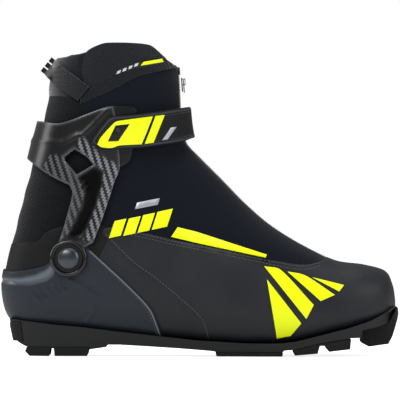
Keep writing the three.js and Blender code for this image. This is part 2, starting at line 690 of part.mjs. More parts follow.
// The slider's plate carries an arch; the pull's end bar turns under the arch.
const sliderBase = 1.1;
const sliderTop = sliderBase + sliderThickness;
const archHeight = 1.7; // clear height under the arch
const archStrip = 0.5;
const archStart = 0.6;
const archEnd = 5.4;
const archFoot = 0.7;
const archWidth = 1.4;
const archTop = sliderTop + archHeight + archStrip;
const archGap = zipBlock(
  archStart + archFoot, archEnd - archFoot, sliderTop, sliderTop + archHeight, sliderWidth,
);
const arch = zipBlock(archStart, archEnd, sliderBase, archTop, archWidth).subtract(archGap);
const slider = zipBlock(0, sliderLength, sliderBase, sliderTop, sliderWidth).add(arch);
mesh('zip_slider', slider, ...steel);
const barAlong = 2.1;
const barOut = sliderTop + archHeight / 2;
const barSize = 0.8;
const pullWidth = 5;
const barLow = barOut - barSize / 2;
const barHigh = barOut + barSize / 2;
const pullPlate = zipBlock(barAlong - barSize / 2, pullLength, barLow, barHigh, pullWidth)
  .subtract(zipBlock(barAlong + barSize / 2, archEnd + 1, 0, 9, archWidth + 1));
mesh('zip_pull', pullPlate, ...steel);
const garage = shell(clearance, 1).intersect(box(-40, 0, -6, 6, 206.5 * sz, 212 * sz));
mesh('zip_garage', largest(garage), 0x131317, 0.8);

// ---------------------------------------------------------------- cuff

const cuffOutline = P([
  [-160, 172.5], [-115.2, 171.4], [-101.7, 169.6], [-92.3, 172.3], [-81.1, 177.1], [-68.8, 181.7],
  [-64.2, 182.6], [-50.3, 182.6], [-46.7, 179.8], [-47.2, 172], [-66, 171], [-79, 159.5], [-70.9, 146.7],
  [-59.9, 137.8], [-62.9, 127], [-66.6, 114.4], [-71.3, 99.5], [-79.1, 77.7], [-95.4, 71.8],
  [-102.4, 82.6], [-97.5, 99.5], [-92.4, 119.3], [-94.3, 125.1], [-105.5, 130.7], [-115.8, 137.8],
  [-124.7, 144.2], [-160, 144.2],
]);
const cuffWindow = P([
  [-90.4, 151.1], [-82.1, 145.7], [-77.4, 140.2], [-89.2, 132.9], [-97.1, 142.9], [-97.3, 145.3],
]);
const webZone = P([
  [-84.6, 86], [-79.3, 100.9], [-75.6, 111.9], [-71.3, 127], [-70.5, 135.4], [-74.5, 138.3],
  [-88, 129.8], [-83.1, 121.8], [-84.9, 111.9], [-91, 99.8], [-95, 88],
]);
const boss = pinY(pivotBoss, px, pz, -80, 80, 24);
const cuffPlan = prism(cuffOutline).add(boss).subtract(prism(cuffWindow));
const webRecess = shell(webOuter, cuffOuter + 1).intersect(prism(webZone));
const cuff = shell(cuffInner, cuffOuter).intersect(cuffPlan).subtract(webRecess).subtract(rivetHole);
mesh('cuff', largest(cuff), 0x0e0e10, 0.25);

const wingOutline = P([
  [-47.4, 171.6], [-65.9, 170.6], [-78.3, 159.3], [-70.6, 147.2], [-59.6, 138.2], [-58.5, 138.6],
  [-52.9, 141.8], [-51, 145], [-50, 149.8],
]);
const wing = shell(cuffInner, wingOuter).intersect(prism(wingOutline));
mesh('cuff_wing_lateral', largest(wing.intersect(lateral)), 0x17181b, 0.4);
mesh('cuff_wing_medial', largest(wing.intersect(medial)), 0x17181b, 0.4);

// Pivots: rivet through the counter and the cuff, washer and domed cap outside, nut plate inside.
for (const [side, sign] of [['lateral', -1], ['medial', 1]]) {
  const wall = Math.abs(surfaceY(px, pz, sign, 0));
  const span = (y0, y1) => [Math.min(sign * y0, sign * y1), Math.max(sign * y0, sign * y1)];
  const washerInner = wall + cuffOuter + 0.5;
  const washerOuter = washerInner + 0.9;
  const pin = pinY(rivetRadius, px, pz, ...span(wall + nutInner, washerOuter + clearance), 16);
  const cap = domedCap(capRadius, capHeight);
  if (sign < 0) cap.rotateX(Math.PI);
  cap.translate(px, sign * (washerOuter + clearance), pz);
  mesh(`pivot_rivet_${side}`, pin.add(toSolid(cap)), 0x3d3f44, 0.25, 1);
  const washer = pinY(washerRadius, px, pz, ...span(washerInner, washerOuter), 24)
    .subtract(pinY(rivetRadius + clearance, px, pz, -90, 90, 16));
  mesh(`pivot_washer_${side}`, washer, 0x16171a, 0.35);
  const nut = pinY(nutRadius, px, pz, ...span(wall + nutInner, wall + nutOuter), 20)
    .subtract(pinY(rivetRadius + clearance, px, pz, -90, 90, 16));
  mesh(`pivot_nut_${side}`, nut, ...steel);
}

// ---------------------------------------------------------------- strap

const strapOutline = P([
  [-79.2, 156.4], [-65, 175], [-54.7, 176.2], [-36.3, 178.5], [-8.8, 183.1], [20, 186], [20, 160],
  [-9.9, 157.8], [-30.5, 154.9], [-43.7, 153], [-61.4, 151.7], [-71.7, 151.7],
]);
const strapShell = shell(strapInner, strapOuter).intersect(prism(strapOutline));
const strapGap = 0.5;
const anchorZone = box(-200, strapHingeX * sx - strapGap, -100, 0, 0, 300);
mesh('strap_anchor', largest(strapShell.intersect(anchorZone)), 0x323236, 0.8);
const bandZone = box(strapHingeX * sx, 100, -100, 0, 0, 300)
  .add(box(-50 * sx, 100, -1, 100, 0, 300));
mesh('strap_band', largest(strapShell.intersect(bandZone)), 0x323236, 0.8);

const plateOutline = P([
  [-74.5, 155.6], [-61.8, 172], [-47.5, 174], [-47.5, 155.8], [-60, 154.7], [-65, 152.8],
]);
const plateSlot = P([[-62.3, 168.5], [-51.1, 169.9], [-62.2, 156.4], [-67.5, 157.8]]);
const plate = shell(strapOuter + 0.3, strapOuter + 1.2).intersect(prism(plateOutline, -80, 0))
  .subtract(prism(plateSlot));
mesh('strap_plate', largest(plate), 0xe6f200, 0.5);
const rivetX = -59.1 * sx;
const rivetZ = 164.8 * sz;
const strapWall = Math.abs(surfaceY(rivetX, rivetZ, -1, strapOuter));
mesh('strap_rivet', pinY(1.6, rivetX, rivetZ, -strapWall - 1.3, -strapWall - 0.25, 16), ...steel);
const hookZone = prism(P([[-49, 158], [-49, 174], [-30, 176.5], [-30, 160]]), 0, 80);
mesh('hook_patch', largest(shell(strapInner - 1.3, strapInner - 0.3).intersect(hookZone)
  .subtract(prism(P([[-46.5, 100], [-46.5, 171], [-46.5, 300], [-80, 300], [-80, 100]])))), 0x0b0b0c, 1);

// ---------------------------------------------------------------- collar trim

const labelZone = prism(P([[-62.8, 203.6], [-26.5, 211.8], [-25.3, 214], [-29, 217.5], [-60, 208]]), -80, 0);
mesh('collar_label', largest(shell(clearance, 1.1).intersect(labelZone)), 0x1c1c1e, 0.6);

// Webbing finger loop at the back of the collar.
const tabWidth = 17;
const tabOutline = P([
  [-107, 214], [-109.5, 219.8], [-112.7, 217], [-118.6, 209.6], [-116, 204], [-111.5, 197.5],
  [-111.2, 192], [-113.2, 192], [-114, 198], [-119.2, 203.4], [-121, 209.8], [-113.6, 219.6],
  [-109.8, 222.4], [-106.6, 221.2], [-104.6, 214],
]);
mesh('pull_tab', largest(prism(tabOutline, -tabWidth / 2, tabWidth / 2)
  .subtract(loft(clearance))), 0x26272b, 0.9);
const tapeZone = P([[-107, 214], [-101, 214], [-79, 197.5], [-86, 190], [-92, 196]]);
mesh('collar_tape', largest(shell(clearance, 1.3).intersect(prism(tapeZone, -80, 0))), 0x26272b, 0.9);

export default boot;
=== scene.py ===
import bpy
import bmesh
import json
import math
import numpy as np
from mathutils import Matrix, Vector, kdtree
from mathutils.geometry import delaunay_2d_cdt


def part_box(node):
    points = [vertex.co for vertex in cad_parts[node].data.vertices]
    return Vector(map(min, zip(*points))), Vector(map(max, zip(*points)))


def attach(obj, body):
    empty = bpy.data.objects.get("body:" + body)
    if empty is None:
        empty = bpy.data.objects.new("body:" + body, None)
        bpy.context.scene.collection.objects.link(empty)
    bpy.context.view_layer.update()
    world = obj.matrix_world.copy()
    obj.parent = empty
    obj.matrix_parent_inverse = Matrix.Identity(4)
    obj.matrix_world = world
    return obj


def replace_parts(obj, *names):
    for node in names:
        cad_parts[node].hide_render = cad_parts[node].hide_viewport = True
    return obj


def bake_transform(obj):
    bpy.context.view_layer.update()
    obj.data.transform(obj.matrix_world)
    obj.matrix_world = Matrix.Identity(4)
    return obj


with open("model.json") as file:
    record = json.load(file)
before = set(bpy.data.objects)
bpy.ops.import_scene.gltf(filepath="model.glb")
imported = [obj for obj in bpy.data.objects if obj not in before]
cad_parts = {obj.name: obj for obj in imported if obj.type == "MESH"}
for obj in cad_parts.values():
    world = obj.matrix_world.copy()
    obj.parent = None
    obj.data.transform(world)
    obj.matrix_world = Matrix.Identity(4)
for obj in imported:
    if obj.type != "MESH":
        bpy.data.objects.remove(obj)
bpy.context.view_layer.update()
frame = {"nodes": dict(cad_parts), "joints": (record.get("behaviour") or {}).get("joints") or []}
mm = 0.001
nodes = frame["nodes"]
joints = {j["name"]: j for j in frame["joints"]}
pivot = np.array(joints["cuff_lean"]["pos_m"]) / mm
print("frame loaded", len(nodes))

# Cross sections of the last in mm, from the toe round the heel to the collar:
# bottom or back point (x, z), top or front point (x, z), half width, sideways shift
last = np.array([
    [144.6, 37.8, 144.7, 38.4, 0.6, 9], [144, 33, 144.2, 43, 11, 8.8], [141, 27, 142.5, 52, 21, 8],
    [134, 23, 137, 62, 31, 6], [120, 18, 121, 66.8, 40, 3.5], [100, 13, 100, 70, 46, 1.5],
    [75, 7.5, 76, 81, 49, 0.5], [48, 5.5, 52, 96, 49, -0.5], [18, 6.5, 33, 112.5, 45.5, -1.5],
    [-12, 8.5, 18, 128, 41, -1], [-42, 11.5, 8, 138, 38, 0], [-72, 14, 1.5, 144.5, 37, 0],
    [-102, 17, -3, 149, 37, 0], [-126, 20, -6.5, 152.5, 37, 0], [-140, 30, -9, 155.7, 37, 0],
    [-144.5, 50, -10.5, 159, 37.5, 0], [-142, 68, -11.5, 163, 38.5, 0], [-137, 88, -12.3, 168, 39.5, 0],
    [-131, 112, -13, 174, 40.5, 0], [-124, 138, -13.6, 181, 41.5, 0], [-118.5, 160, -14, 189, 42, 0],
    [-113, 182, -14.4, 198, 42.5, 0], [-110.5, 199, -15, 207, 43, 0], [-108, 216, -16, 218, 43.5, 0],
    [-106, 234, -17, 234, 44, 0],
], float)
lastShape = {"belly": 0.4, "square": 2.4}
ringCount = len(last)


# Rows of the last at a section number, smoothed between sections
def ringAt(u):
    u = np.clip(np.asarray(u, float), 0, ringCount - 1 - 1e-9)
    i = np.floor(u).astype(int)
    t = (u - i)[:, None]
    p0 = last[np.maximum(i - 1, 0)]
    p1 = last[i]
    p2 = last[i + 1]
    p3 = last[np.minimum(i + 2, ringCount - 1)]
    return 0.5 * (2 * p1 + (p2 - p0) * t + (2 * p0 - 5 * p1 + 4 * p2 - p3) * t ** 2
                  + (3 * p1 - p0 - 3 * p2 + p3) * t ** 3)


# Point on the last at a section number and an angle
def lastPoint(u, a):
    u = np.asarray(u, float)
    a = np.asarray(a, float)
    row = ringAt(u)
    power = 2 / lastShape["square"]
    belly = lastShape["belly"]
    c = np.cos(a)
    s = np.sin(a)
    along = np.where(c > 0, belly * (1 - np.abs(c) ** power), belly + (1 - belly) * np.abs(c) ** power)
    y = row[:, 5] - np.sign(s) * row[:, 4] * np.abs(s) ** power
    x = row[:, 0] + (row[:, 2] - row[:, 0]) * along
    z = row[:, 1] + (row[:, 3] - row[:, 1]) * along
    return np.stack([x, y, z], 1)


# Way out of the last at the same place
def lastNormal(u, a):
    h = 0.02
    sway = 0.035
    uLow = np.clip(u - h, 0, ringCount - 1.001)
    uHigh = np.clip(u + h, 0, ringCount - 1.001)
    du = lastPoint(uHigh, a) - lastPoint(uLow, a)
    da = lastPoint(u, a + sway) - lastPoint(u, a - sway)
    n = np.cross(du, da)
    n /= np.linalg.norm(n, axis=1)[:, None] + 1e-12
    return n * outwardSign


outwardSign = 1.0
testNormal = lastNormal(np.array([6.0]), np.array([math.pi / 2]))[0]
outwardSign = -1.0 if testNormal[1] > 0 else 1.0


# Point held off the last by an offset in mm
def lifted(u, a, offset):
    u = np.asarray(u, float)
    a = np.asarray(a, float)
    return lastPoint(u, a) + lastNormal(u, a) * np.broadcast_to(offset, u.shape)[:, None]


# Table for finding the section line that passes through a side view point
lineU = np.linspace(0, ringCount - 1.001, 1200)
lineRow = ringAt(lineU)


# Section number and angle (0 back or bottom, pi top or front) of a side view point
def findOnLast(x, z):
    bx, bz, tx, tz = lineRow[:, 0], lineRow[:, 1], lineRow[:, 2], lineRow[:, 3]
    cross = (tx - bx) * (z - bz) - (tz - bz) * (x - bx)
    flips = np.nonzero(cross[:-1] * cross[1:] <= 0)[0]
    best = None
    for i in flips:
        t = cross[i] / (cross[i] - cross[i + 1] + 1e-12)
        row = lineRow[i] + (lineRow[i + 1] - lineRow[i]) * t
        d = np.array([row[2] - row[0], row[3] - row[1]])
        v = ((x - row[0]) * d[0] + (z - row[1]) * d[1]) / (d @ d)
        miss = max(0, -v, v - 1)
        if best is None or miss < best[0]:
            best = (miss, lineU[i] + (lineU[i + 1] - lineU[i]) * t, v)
    if best is None:
        end = 0 if x > 0 else -1
        row = lineRow[end]
        d = np.array([row[2] - row[0], row[3] - row[1]])
        v = ((x - row[0]) * d[0] + (z - row[1]) * d[1]) / (d @ d)
        best = (0, lineU[end], v)
    v = min(max(best[2], 0), 1)
    belly = lastShape["belly"]
    power = 2 / lastShape["square"]
    if v < belly:
        return best[1], math.acos(min(1, (1 - v / belly) ** (1 / power)))
    return best[1], math.acos(-min(1, ((v - belly) / (1 - belly)) ** (1 / power)))


# Metric used while triangulating: section number as mm, angle as mm
sample = lastPoint(np.repeat(lineU, 2), np.tile([0, math.pi], len(lineU))).reshape(-1, 2, 3)
stepLength = np.linalg.norm(np.diff(sample, axis=0), axis=2)
paceLength = np.concatenate([[0], np.cumsum(stepLength.max(1) * 0.65 + stepLength.min(1) * 0.35)])
anglePace = 42.0


def toFlat(u, a):
    return np.stack([np.interp(u, lineU, paceLength), np.asarray(a) * anglePace], 1)


def fromFlat(p):
    return np.interp(p[:, 0], paceLength, lineU), p[:, 1] / anglePace


# A polyline made dense: round where it bends gently, sharp at its corners
def smoothLine(points, closed=False, corner=38, step=1.2):
    pts = [np.array(p, float) for p in points]
    n = len(pts)
    sharp = set()
    for i in range(n):
        if not closed and i in (0, n - 1):
            sharp.add(i)
            continue
        d0 = pts[i] - pts[i - 1]
        d1 = pts[(i + 1) % n] - pts[i]
        bend = math.degrees(math.acos(np.clip(
            d0 @ d1 / (np.linalg.norm(d0) * np.linalg.norm(d1) + 1e-9), -1, 1)))
        if bend > corner:
            sharp.add(i)
    out = []
    spans = n if closed else n - 1
    for i in range(spans):
        p1 = pts[i]
        p2 = pts[(i + 1) % n]
        p0 = p1 * 2 - p2 if i in sharp else pts[i - 1]
        p3 = p2 * 2 - p1 if (i + 1) % n in sharp else pts[(i + 2) % n]
        count = max(1, int(np.linalg.norm(p2 - p1) / step))
        for k in range(count):
            t = k / count
            m1 = (p2 - p0) * 0.5
            m2 = (p3 - p1) * 0.5
            reach = np.linalg.norm(p2 - p1)
            m1 *= min(1, reach / (np.linalg.norm(m1) + 1e-9))
            m2 *= min(1, reach / (np.linalg.norm(m2) + 1e-9))
            h = t * t * (3 - 2 * t)
            out.append(p1 * (1 - h) + p2 * h + m1 * (t ** 3 - 2 * t * t + t) + m2 * (t ** 3 - t * t))
    if not closed:
        out.append(pts[-1])
    return np.array(out)


# Side view points taken to the unrolled last
def sideToFlat(points):
    found = [findOnLast(x, z) for x, z in points]
    return toFlat(np.array([f[0] for f in found]), np.array([f[1] for f in found]))


def tidyLoop(loop, gap=0.35):
    keep = [loop[0]]
    for p in loop[1:]:
        if np.linalg.norm(p - keep[-1]) > gap:
            keep.append(p)
    if np.linalg.norm(keep[0] - keep[-1]) < gap:
        keep.pop()
    return np.array(keep)


def densify(loop, step):
    out = []
    for i in range(len(loop)):
        a = loop[i]
        b = loop[(i + 1) % len(loop)]
        count = max(1, int(np.linalg.norm(b - a) / step))
        for k in range(count):
            out.append(a + (b - a) * k / count)
    return np.array(out)


def inside(loop, pts):
    result = np.zeros(len(pts), bool)
    x, y = pts[:, 0], pts[:, 1]
    for i in range(len(loop)):
        x1, y1 = loop[i]
        x2, y2 = loop[i - 1]
        hit = ((y1 > y) != (y2 > y))
        result ^= hit & (x < (x2 - x1) * (y - y1) / ((y2 - y1) if y2 != y1 else 1e-12) + x1)
    return result


def mirrored(flat):
    m = flat.copy()
    m[:, 1] *= -1
    return m


halfTurn = math.pi * anglePace


# Closed outline on the unrolled last: one side, or both sides joined at the back or the front
def regionLoop(kind, line):
    if kind in ("lateral", "medial"):
        flat = sideToFlat(smoothLine(line, closed=True))
        if kind == "medial":
            flat = mirrored(flat)
        return [tidyLoop(flat)]
    flat = sideToFlat(smoothLine(line))
    if kind == "back":
        other = mirrored(flat)
    else:
        other = flat.copy()
        other[:, 1] = 2 * halfTurn - other[:, 1]
    return [tidyLoop(np.vstack([flat, other[::-1]]))]


# Smooth shading with sharp edges past an angle
def shadeByAngle(mesh, degrees=38):
    mesh.shade_smooth()
    mesh.set_sharp_from_angle(angle=math.radians(degrees))


# Mesh object with its cloth coordinates and its rim and mask values
def newObject(name, verts, faces, uv=None, rim=None, degrees=38, mask=None):
    mesh = bpy.data.meshes.new(name)
    mesh.from_pydata([tuple(v) for v in verts], [], [tuple(int(i) for i in f) for f in faces])
    mesh.update()
    if uv is not None:
        layer = mesh.uv_layers.new(name="flat")
        loops = np.zeros(len(mesh.loops), int)
        mesh.loops.foreach_get("vertex_index", loops)
        layer.data.foreach_set("uv", np.asarray(uv, np.float32)[loops].ravel())
    if rim is not None:
        attribute = mesh.attributes.new("rim", "FLOAT", "POINT")
        attribute.data.foreach_set("value", np.asarray(rim, np.float32))
    if mask is not None:
        attribute = mesh.attributes.new("mask", "FLOAT", "POINT")
        attribute.data.foreach_set("value", np.asarray(mask, np.float32))
    shadeByAngle(mesh, degrees)
    obj = bpy.data.objects.new(name, mesh)
    bpy.context.scene.collection.objects.link(obj)
    return obj


# Unrolled lengths over the surface, for weaves: along the boot, and round it from its side
def clothUv(u, a):
    steps = 16
    total = np.zeros(len(u))
    start = (np.floor(a / math.pi) + 0.5) * math.pi
    prev = lastPoint(u, start)
    for k in range(1, steps + 1):
        now = lastPoint(u, start + (a - start) * k / steps)
        total += np.linalg.norm(now - prev, axis=1)
        prev = now
    total *= np.sign(a - start)
    row = ringAt(u)
    direction = row[:, 2:4] - row[:, 0:2]
    direction /= np.linalg.norm(direction, axis=1)[:, None]
    total *= np.where((a < 0) | (a > math.pi), -1, 1)
    middle = lastPoint(u, start)[:, [0, 2]]
    return (middle + direction * total[:, None]) * mm * 10


# A piece cut from the last: outer face at out, rolled edges, its own thickness
def patch(name, loops, step=2.4, out=0.0, thick=1.3, rim=0.7, relief=None, holes=(), degrees=38,
          mask=None):
    loops = [densify(l, step * 0.75) for l in loops]
    holeLoops = [densify(h, step * 0.75) for h in holes]
    everyLoop = loops + holeLoops
    points = []
    edges = []
    for loop in everyLoop:
        base = len(points)
        points += list(loop)
        edges += [(base + i, base + (i + 1) % len(loop)) for i in range(len(loop))]
    borderCount = len(points)
    border = np.array(points)
    allPoints = np.vstack(everyLoop)
    low = allPoints.min(0)
    high = allPoints.max(0)
    xs = np.arange(low[0], high[0], step)
    ys = np.arange(low[1], high[1], step * 0.87)
    grid = np.array([[x + (j % 2) * step / 2, y] for j, y in enumerate(ys) for x in xs])

    def within(pts):
        ok = np.zeros(len(pts), bool)
        for loop in loops:
            ok |= inside(loop, pts)
        for hole in holeLoops:
            ok &= ~inside(hole, pts)
        return ok

    borderSpace = lastPoint(*fromFlat(border))
    tree = kdtree.KDTree(borderCount)
    for i, p in enumerate(borderSpace):
        tree.insert(Vector(p), i)
    tree.balance()
    extra = []
    for loop in everyLoop:
        tangent = np.roll(loop, -1, 0) - np.roll(loop, 1, 0)
        normal = np.stack([-tangent[:, 1], tangent[:, 0]], 1)
        normal /= np.linalg.norm(normal, axis=1)[:, None] + 1e-9
        probe = loop + normal * 0.6
        space = np.linalg.norm(lastPoint(*fromFlat(probe)) - lastPoint(*fromFlat(loop)), axis=1) / 0.6 + 1e-6
        for depth in (rim * 0.3, rim * 1.0):
            for sign in (1, -1):
                moved = loop + normal * (sign * depth / space)[:, None]
                extra.append(moved[within(moved)])
    extra = np.vstack(extra) if extra else np.zeros((0, 2))
    grid = grid[within(grid)]
    if len(grid):
        space = lastPoint(*fromFlat(grid))
        far = np.array([tree.find(Vector(p))[2] for p in space])
        grid = grid[far > max(rim * 1.3, step * 0.55)]
    if len(extra):
        space = lastPoint(*fromFlat(extra))
        far = np.array([tree.find(Vector(p))[2] for p in space])
        extra = extra[far > rim * 0.22]
    free = np.vstack([extra, grid])
    coords = np.vstack([border, free])
    result = delaunay_2d_cdt([Vector(p) for p in coords], edges, [], 0, 1e-5)
    verts = np.array([tuple(v) for v in result[0]])
    tris = np.array([f for f in result[2]])
    centre = verts[tris].mean(1)
    tris = tris[within(centre)]
    used = np.unique(tris)
    remap = -np.ones(len(verts), int)
    remap[used] = np.arange(len(used))
    verts = verts[used]
    tris = remap[tris]
    u, a = fromFlat(verts)
    base = lastPoint(u, a)
    dist = np.array([tree.find(Vector(p))[2] for p in base])
    edgeShare = np.clip(1 - dist / rim, 0, 1)
    drop = min(rim, thick * 0.8) * (1 - np.sqrt(np.clip(1 - edgeShare ** 2, 0, 1)))
    height = out - drop
    if relief is not None:
        height = np.maximum(height + relief(base, dist), out - thick + min(0.4, thick * 0.5))
    normal = lastNormal(u, a)
    outer = base + normal * height[:, None]
    inner = base + normal * (out - thick)
    n = len(outer)
    e0 = outer[tris[:, 1]] - outer[tris[:, 0]]
    e1 = outer[tris[:, 2]] - outer[tris[:, 0]]
    facing = (np.cross(e0, e1) * normal[tris[:, 0]]).sum(1)
    tris = np.where((facing < 0)[:, None], tris[:, ::-1], tris)
    directed = {}
    for t in tris:
        for i in range(3):
            directed[(t[i], t[(i + 1) % 3])] = True
    walls = [(b, a, a + n, b + n) for (a, b) in directed if (b, a) not in directed]
    faces = [tuple(t) for t in tris] + [tuple(t[::-1] + n) for t in tris] + walls
    uv = clothUv(u, a)
    rimValue = np.concatenate([np.clip(dist / (rim * 3), 0, 1)] * 2)
    return newObject(name, np.vstack([outer, inner]) * mm, faces, np.vstack([uv, uv]), rimValue, degrees,
                     None if mask is None else np.tile(mask(base), 2))


# Shader groups. Each takes a scale or colours in and gives a value or colour out.
def makeGroup(name, inputs, outputs):
    group = bpy.data.node_groups.new(name, "ShaderNodeTree")
    for label, kind, default in inputs:
        socket = group.interface.new_socket(label, in_out="INPUT", socket_type="NodeSocket" + kind)
        if default is not None:
            socket.default_value = default
    for label, kind in outputs:
        group.interface.new_socket(label, in_out="OUTPUT", socket_type="NodeSocket" + kind)
    return group, group.nodes.new("NodeGroupInput"), group.nodes.new("NodeGroupOutput")


def addNode(tree, kind, props=None, values=None):
    node = tree.nodes.new("ShaderNode" + kind)
    for key, value in (props or {}).items():
        setattr(node, key, value)
    for key, value in (values or {}).items():
        node.inputs[key].default_value = value
    return node


def maths(tree, operation, a, b=None, c=None, clamp=False):
    node = addNode(tree, "Math", {"operation": operation, "use_clamp": clamp})
    for i, value in enumerate((a, b, c)):
        if value is None:
            continue
        if isinstance(value, (int, float)):
            node.inputs[i].default_value = value
        else:
            tree.links.new(value, node.inputs[i])
    return node.outputs[0]


def mixColour(tree, share, a, b):
    node = addNode(tree, "Mix", {"data_type": "RGBA"})
    for socket, value in ((node.inputs[0], share), (node.inputs[6], a), (node.inputs[7], b)):
        if isinstance(value, (int, float, tuple)):
            socket.default_value = value
        else:
            tree.links.new(value, socket)
    return node.outputs[2]


# Over and under threads of a plain or twill cloth; coordinates in the flat layer
def buildWeave():
    group, gin, gout = makeGroup("weave", [("Vector", "Vector", None), ("Threads", "Float", 80.0),
                                           ("Twill", "Float", 0.0)], [("Height", "Float"),
                                           ("Over", "Float")])
    split = addNode(group, "SeparateXYZ")
    group.links.new(gin.outputs["Vector"], split.inputs[0])
    x = maths(group, "MULTIPLY", split.outputs[0], gin.outputs["Threads"])
    y = maths(group, "MULTIPLY", split.outputs[1], gin.outputs["Threads"])
    row = maths(group, "FLOOR", y)
    column = maths(group, "FLOOR", x)
    span = maths(group, "MULTIPLY_ADD", gin.outputs["Twill"], 2.0, 2.0)
    turn = maths(group, "FLOORED_MODULO", maths(group, "ADD", row, column), span)
    over = maths(group, "LESS_THAN", turn, maths(group, "MULTIPLY", span, 0.5))
    fx = maths(group, "ABSOLUTE", maths(group, "SUBTRACT", maths(group, "FRACT", x), 0.5))
    fy = maths(group, "ABSOLUTE", maths(group, "SUBTRACT", maths(group, "FRACT", y), 0.5))
    warp = maths(group, "SUBTRACT", 1.0, maths(group, "MULTIPLY", fx, 2.0))
    weft = maths(group, "SUBTRACT", 1.0, maths(group, "MULTIPLY", fy, 2.0))
    chosen = addNode(group, "Mix", {"data_type": "FLOAT"})
    group.links.new(over, chosen.inputs[0])
    group.links.new(weft, chosen.inputs[2])
    group.links.new(warp, chosen.inputs[3])
    group.links.new(maths(group, "POWER", chosen.outputs[0], 0.6), gout.inputs["Height"])
    group.links.new(over, gout.inputs["Over"])
    return group


# Fine pebble of coated leather, with slow waves under it
def buildGrain():
    group, gin, gout = makeGroup("grain", [("Vector", "Vector", None), ("Scale", "Float", 900.0)],
                                 [("Height", "Float"), ("Drift", "Float")])
    cells = addNode(group, "TexVoronoi", {"feature": "DISTANCE_TO_EDGE"}, {"Randomness": 1.0})
    group.links.new(gin.outputs["Vector"], cells.inputs["Vector"])
    group.links.new(gin.outputs["Scale"], cells.inputs["Scale"])
    rough = addNode(group, "TexNoise", None, {"Detail": 3.0})
    group.links.new(gin.outputs["Vector"], rough.inputs["Vector"])
    group.links.new(maths(group, "MULTIPLY", gin.outputs["Scale"], 0.6), rough.inputs["Scale"])
    drift = addNode(group, "TexNoise", None, {"Detail": 2.0})
    group.links.new(gin.outputs["Vector"], drift.inputs["Vector"])
    group.links.new(maths(group, "MULTIPLY", gin.outputs["Scale"], 0.035), drift.inputs["Scale"])
    pebble = maths(group, "MINIMUM", maths(group, "MULTIPLY", cells.outputs["Distance"], 4.0), 1.0)
    total = maths(group, "ADD", maths(group, "MULTIPLY", pebble, 0.5),
                  maths(group, "MULTIPLY", rough.outputs["Fac"], 0.6))
    group.links.new(total, gout.inputs["Height"])
    group.links.new(drift.outputs["Fac"], gout.inputs["Drift"])
    return group


# Soft wide variation, and small specks, for cloth and rubber
def buildSpeckle():
    group, gin, gout = makeGroup("speckle", [("Vector", "Vector", None), ("Scale", "Float", 600.0)],
                                 [("Fine", "Float"), ("Wide", "Float")])
    fine = addNode(group, "TexNoise", None, {"Detail": 4.0, "Roughness": 0.7})
    group.links.new(gin.outputs["Vector"], fine.inputs["Vector"])
    group.links.new(gin.outputs["Scale"], fine.inputs["Scale"])
    wide = addNode(group, "TexNoise", None, {"Detail": 2.0})
    group.links.new(gin.outputs["Vector"], wide.inputs["Vector"])
    group.links.new(maths(group, "MULTIPLY", gin.outputs["Scale"], 0.03), wide.inputs["Scale"])
    group.links.new(fine.outputs["Fac"], gout.inputs["Fine"])
    group.links.new(wide.outputs["Fac"], gout.inputs["Wide"])
    return group


groups = {"weave": buildWeave(), "grain": buildGrain(), "speckle": buildSpeckle()}


def useGroup(tree, kind, vector, **values):
    node = tree.nodes.new("ShaderNodeGroup")
    node.node_tree = groups[kind]
    tree.links.new(vector, node.inputs["Vector"])
    for key, value in values.items():
        node.inputs[key].default_value = value
    return node


def shade(hexText):
    part = [int(hexText[i:i + 2], 16) / 255 for i in (1, 3, 5)]
    return tuple((v / 12.92 if v <= 0.04045 else ((v + 0.055) / 1.055) ** 2.4) for v in part) + (1.0,)


def newMaterial(name, roughness, metallic=0.0, coat=0.0, sheen=0.0, specular=0.5):
    material = bpy.data.materials.new(name)
    material.use_nodes = True
    tree = material.node_tree
    shader = tree.nodes["Principled BSDF"]
    shader.inputs["Roughness"].default_value = roughness
    shader.inputs["Metallic"].default_value = metallic
    shader.inputs["Coat Weight"].default_value = coat
    shader.inputs["Coat Roughness"].default_value = 0.2
    shader.inputs["Sheen Weight"].default_value = sheen
    shader.inputs["Sheen Roughness"].default_value = 0.45
    shader.inputs["Specular IOR Level"].default_value = specular
    return material, tree, shader


def addBump(tree, shader, height, strength, distance):
    bump = addNode(tree, "Bump", None, {"Strength": strength, "Distance": distance})
    tree.links.new(height, bump.inputs["Height"])
    tree.links.new(bump.outputs[0], shader.inputs["Normal"])


def objectVector(tree):
    return addNode(tree, "TexCoord").outputs["Object"]


def flatVector(tree):
    node = addNode(tree, "UVMap", {"uv_map": "flat"})
    return node.outputs[0]


def clothMaterial(name, dark, light, threads, twill=0.0, roughness=0.85, sheen=0.3, bump=0.5, depth=0.0002):
    material, tree, shader = newMaterial(name, roughness, sheen=sheen, specular=0.12)
    cloth = useGroup(tree, "weave", flatVector(tree), Threads=threads, Twill=twill)
    spread = useGroup(tree, "speckle", objectVector(tree), Scale=700.0)
    share = maths(tree, "ADD", maths(tree, "MULTIPLY", cloth.outputs["Height"], 0.65),
                  maths(tree, "MULTIPLY", spread.outputs["Wide"], 0.35), clamp=True)
    tree.links.new(mixColour(tree, share, shade(dark), shade(light)), shader.inputs["Base Color"])
    height = maths(tree, "ADD", cloth.outputs["Height"], maths(tree, "MULTIPLY", spread.outputs["Fine"], 0.5))
    addBump(tree, shader, height, bump, depth)
    return material


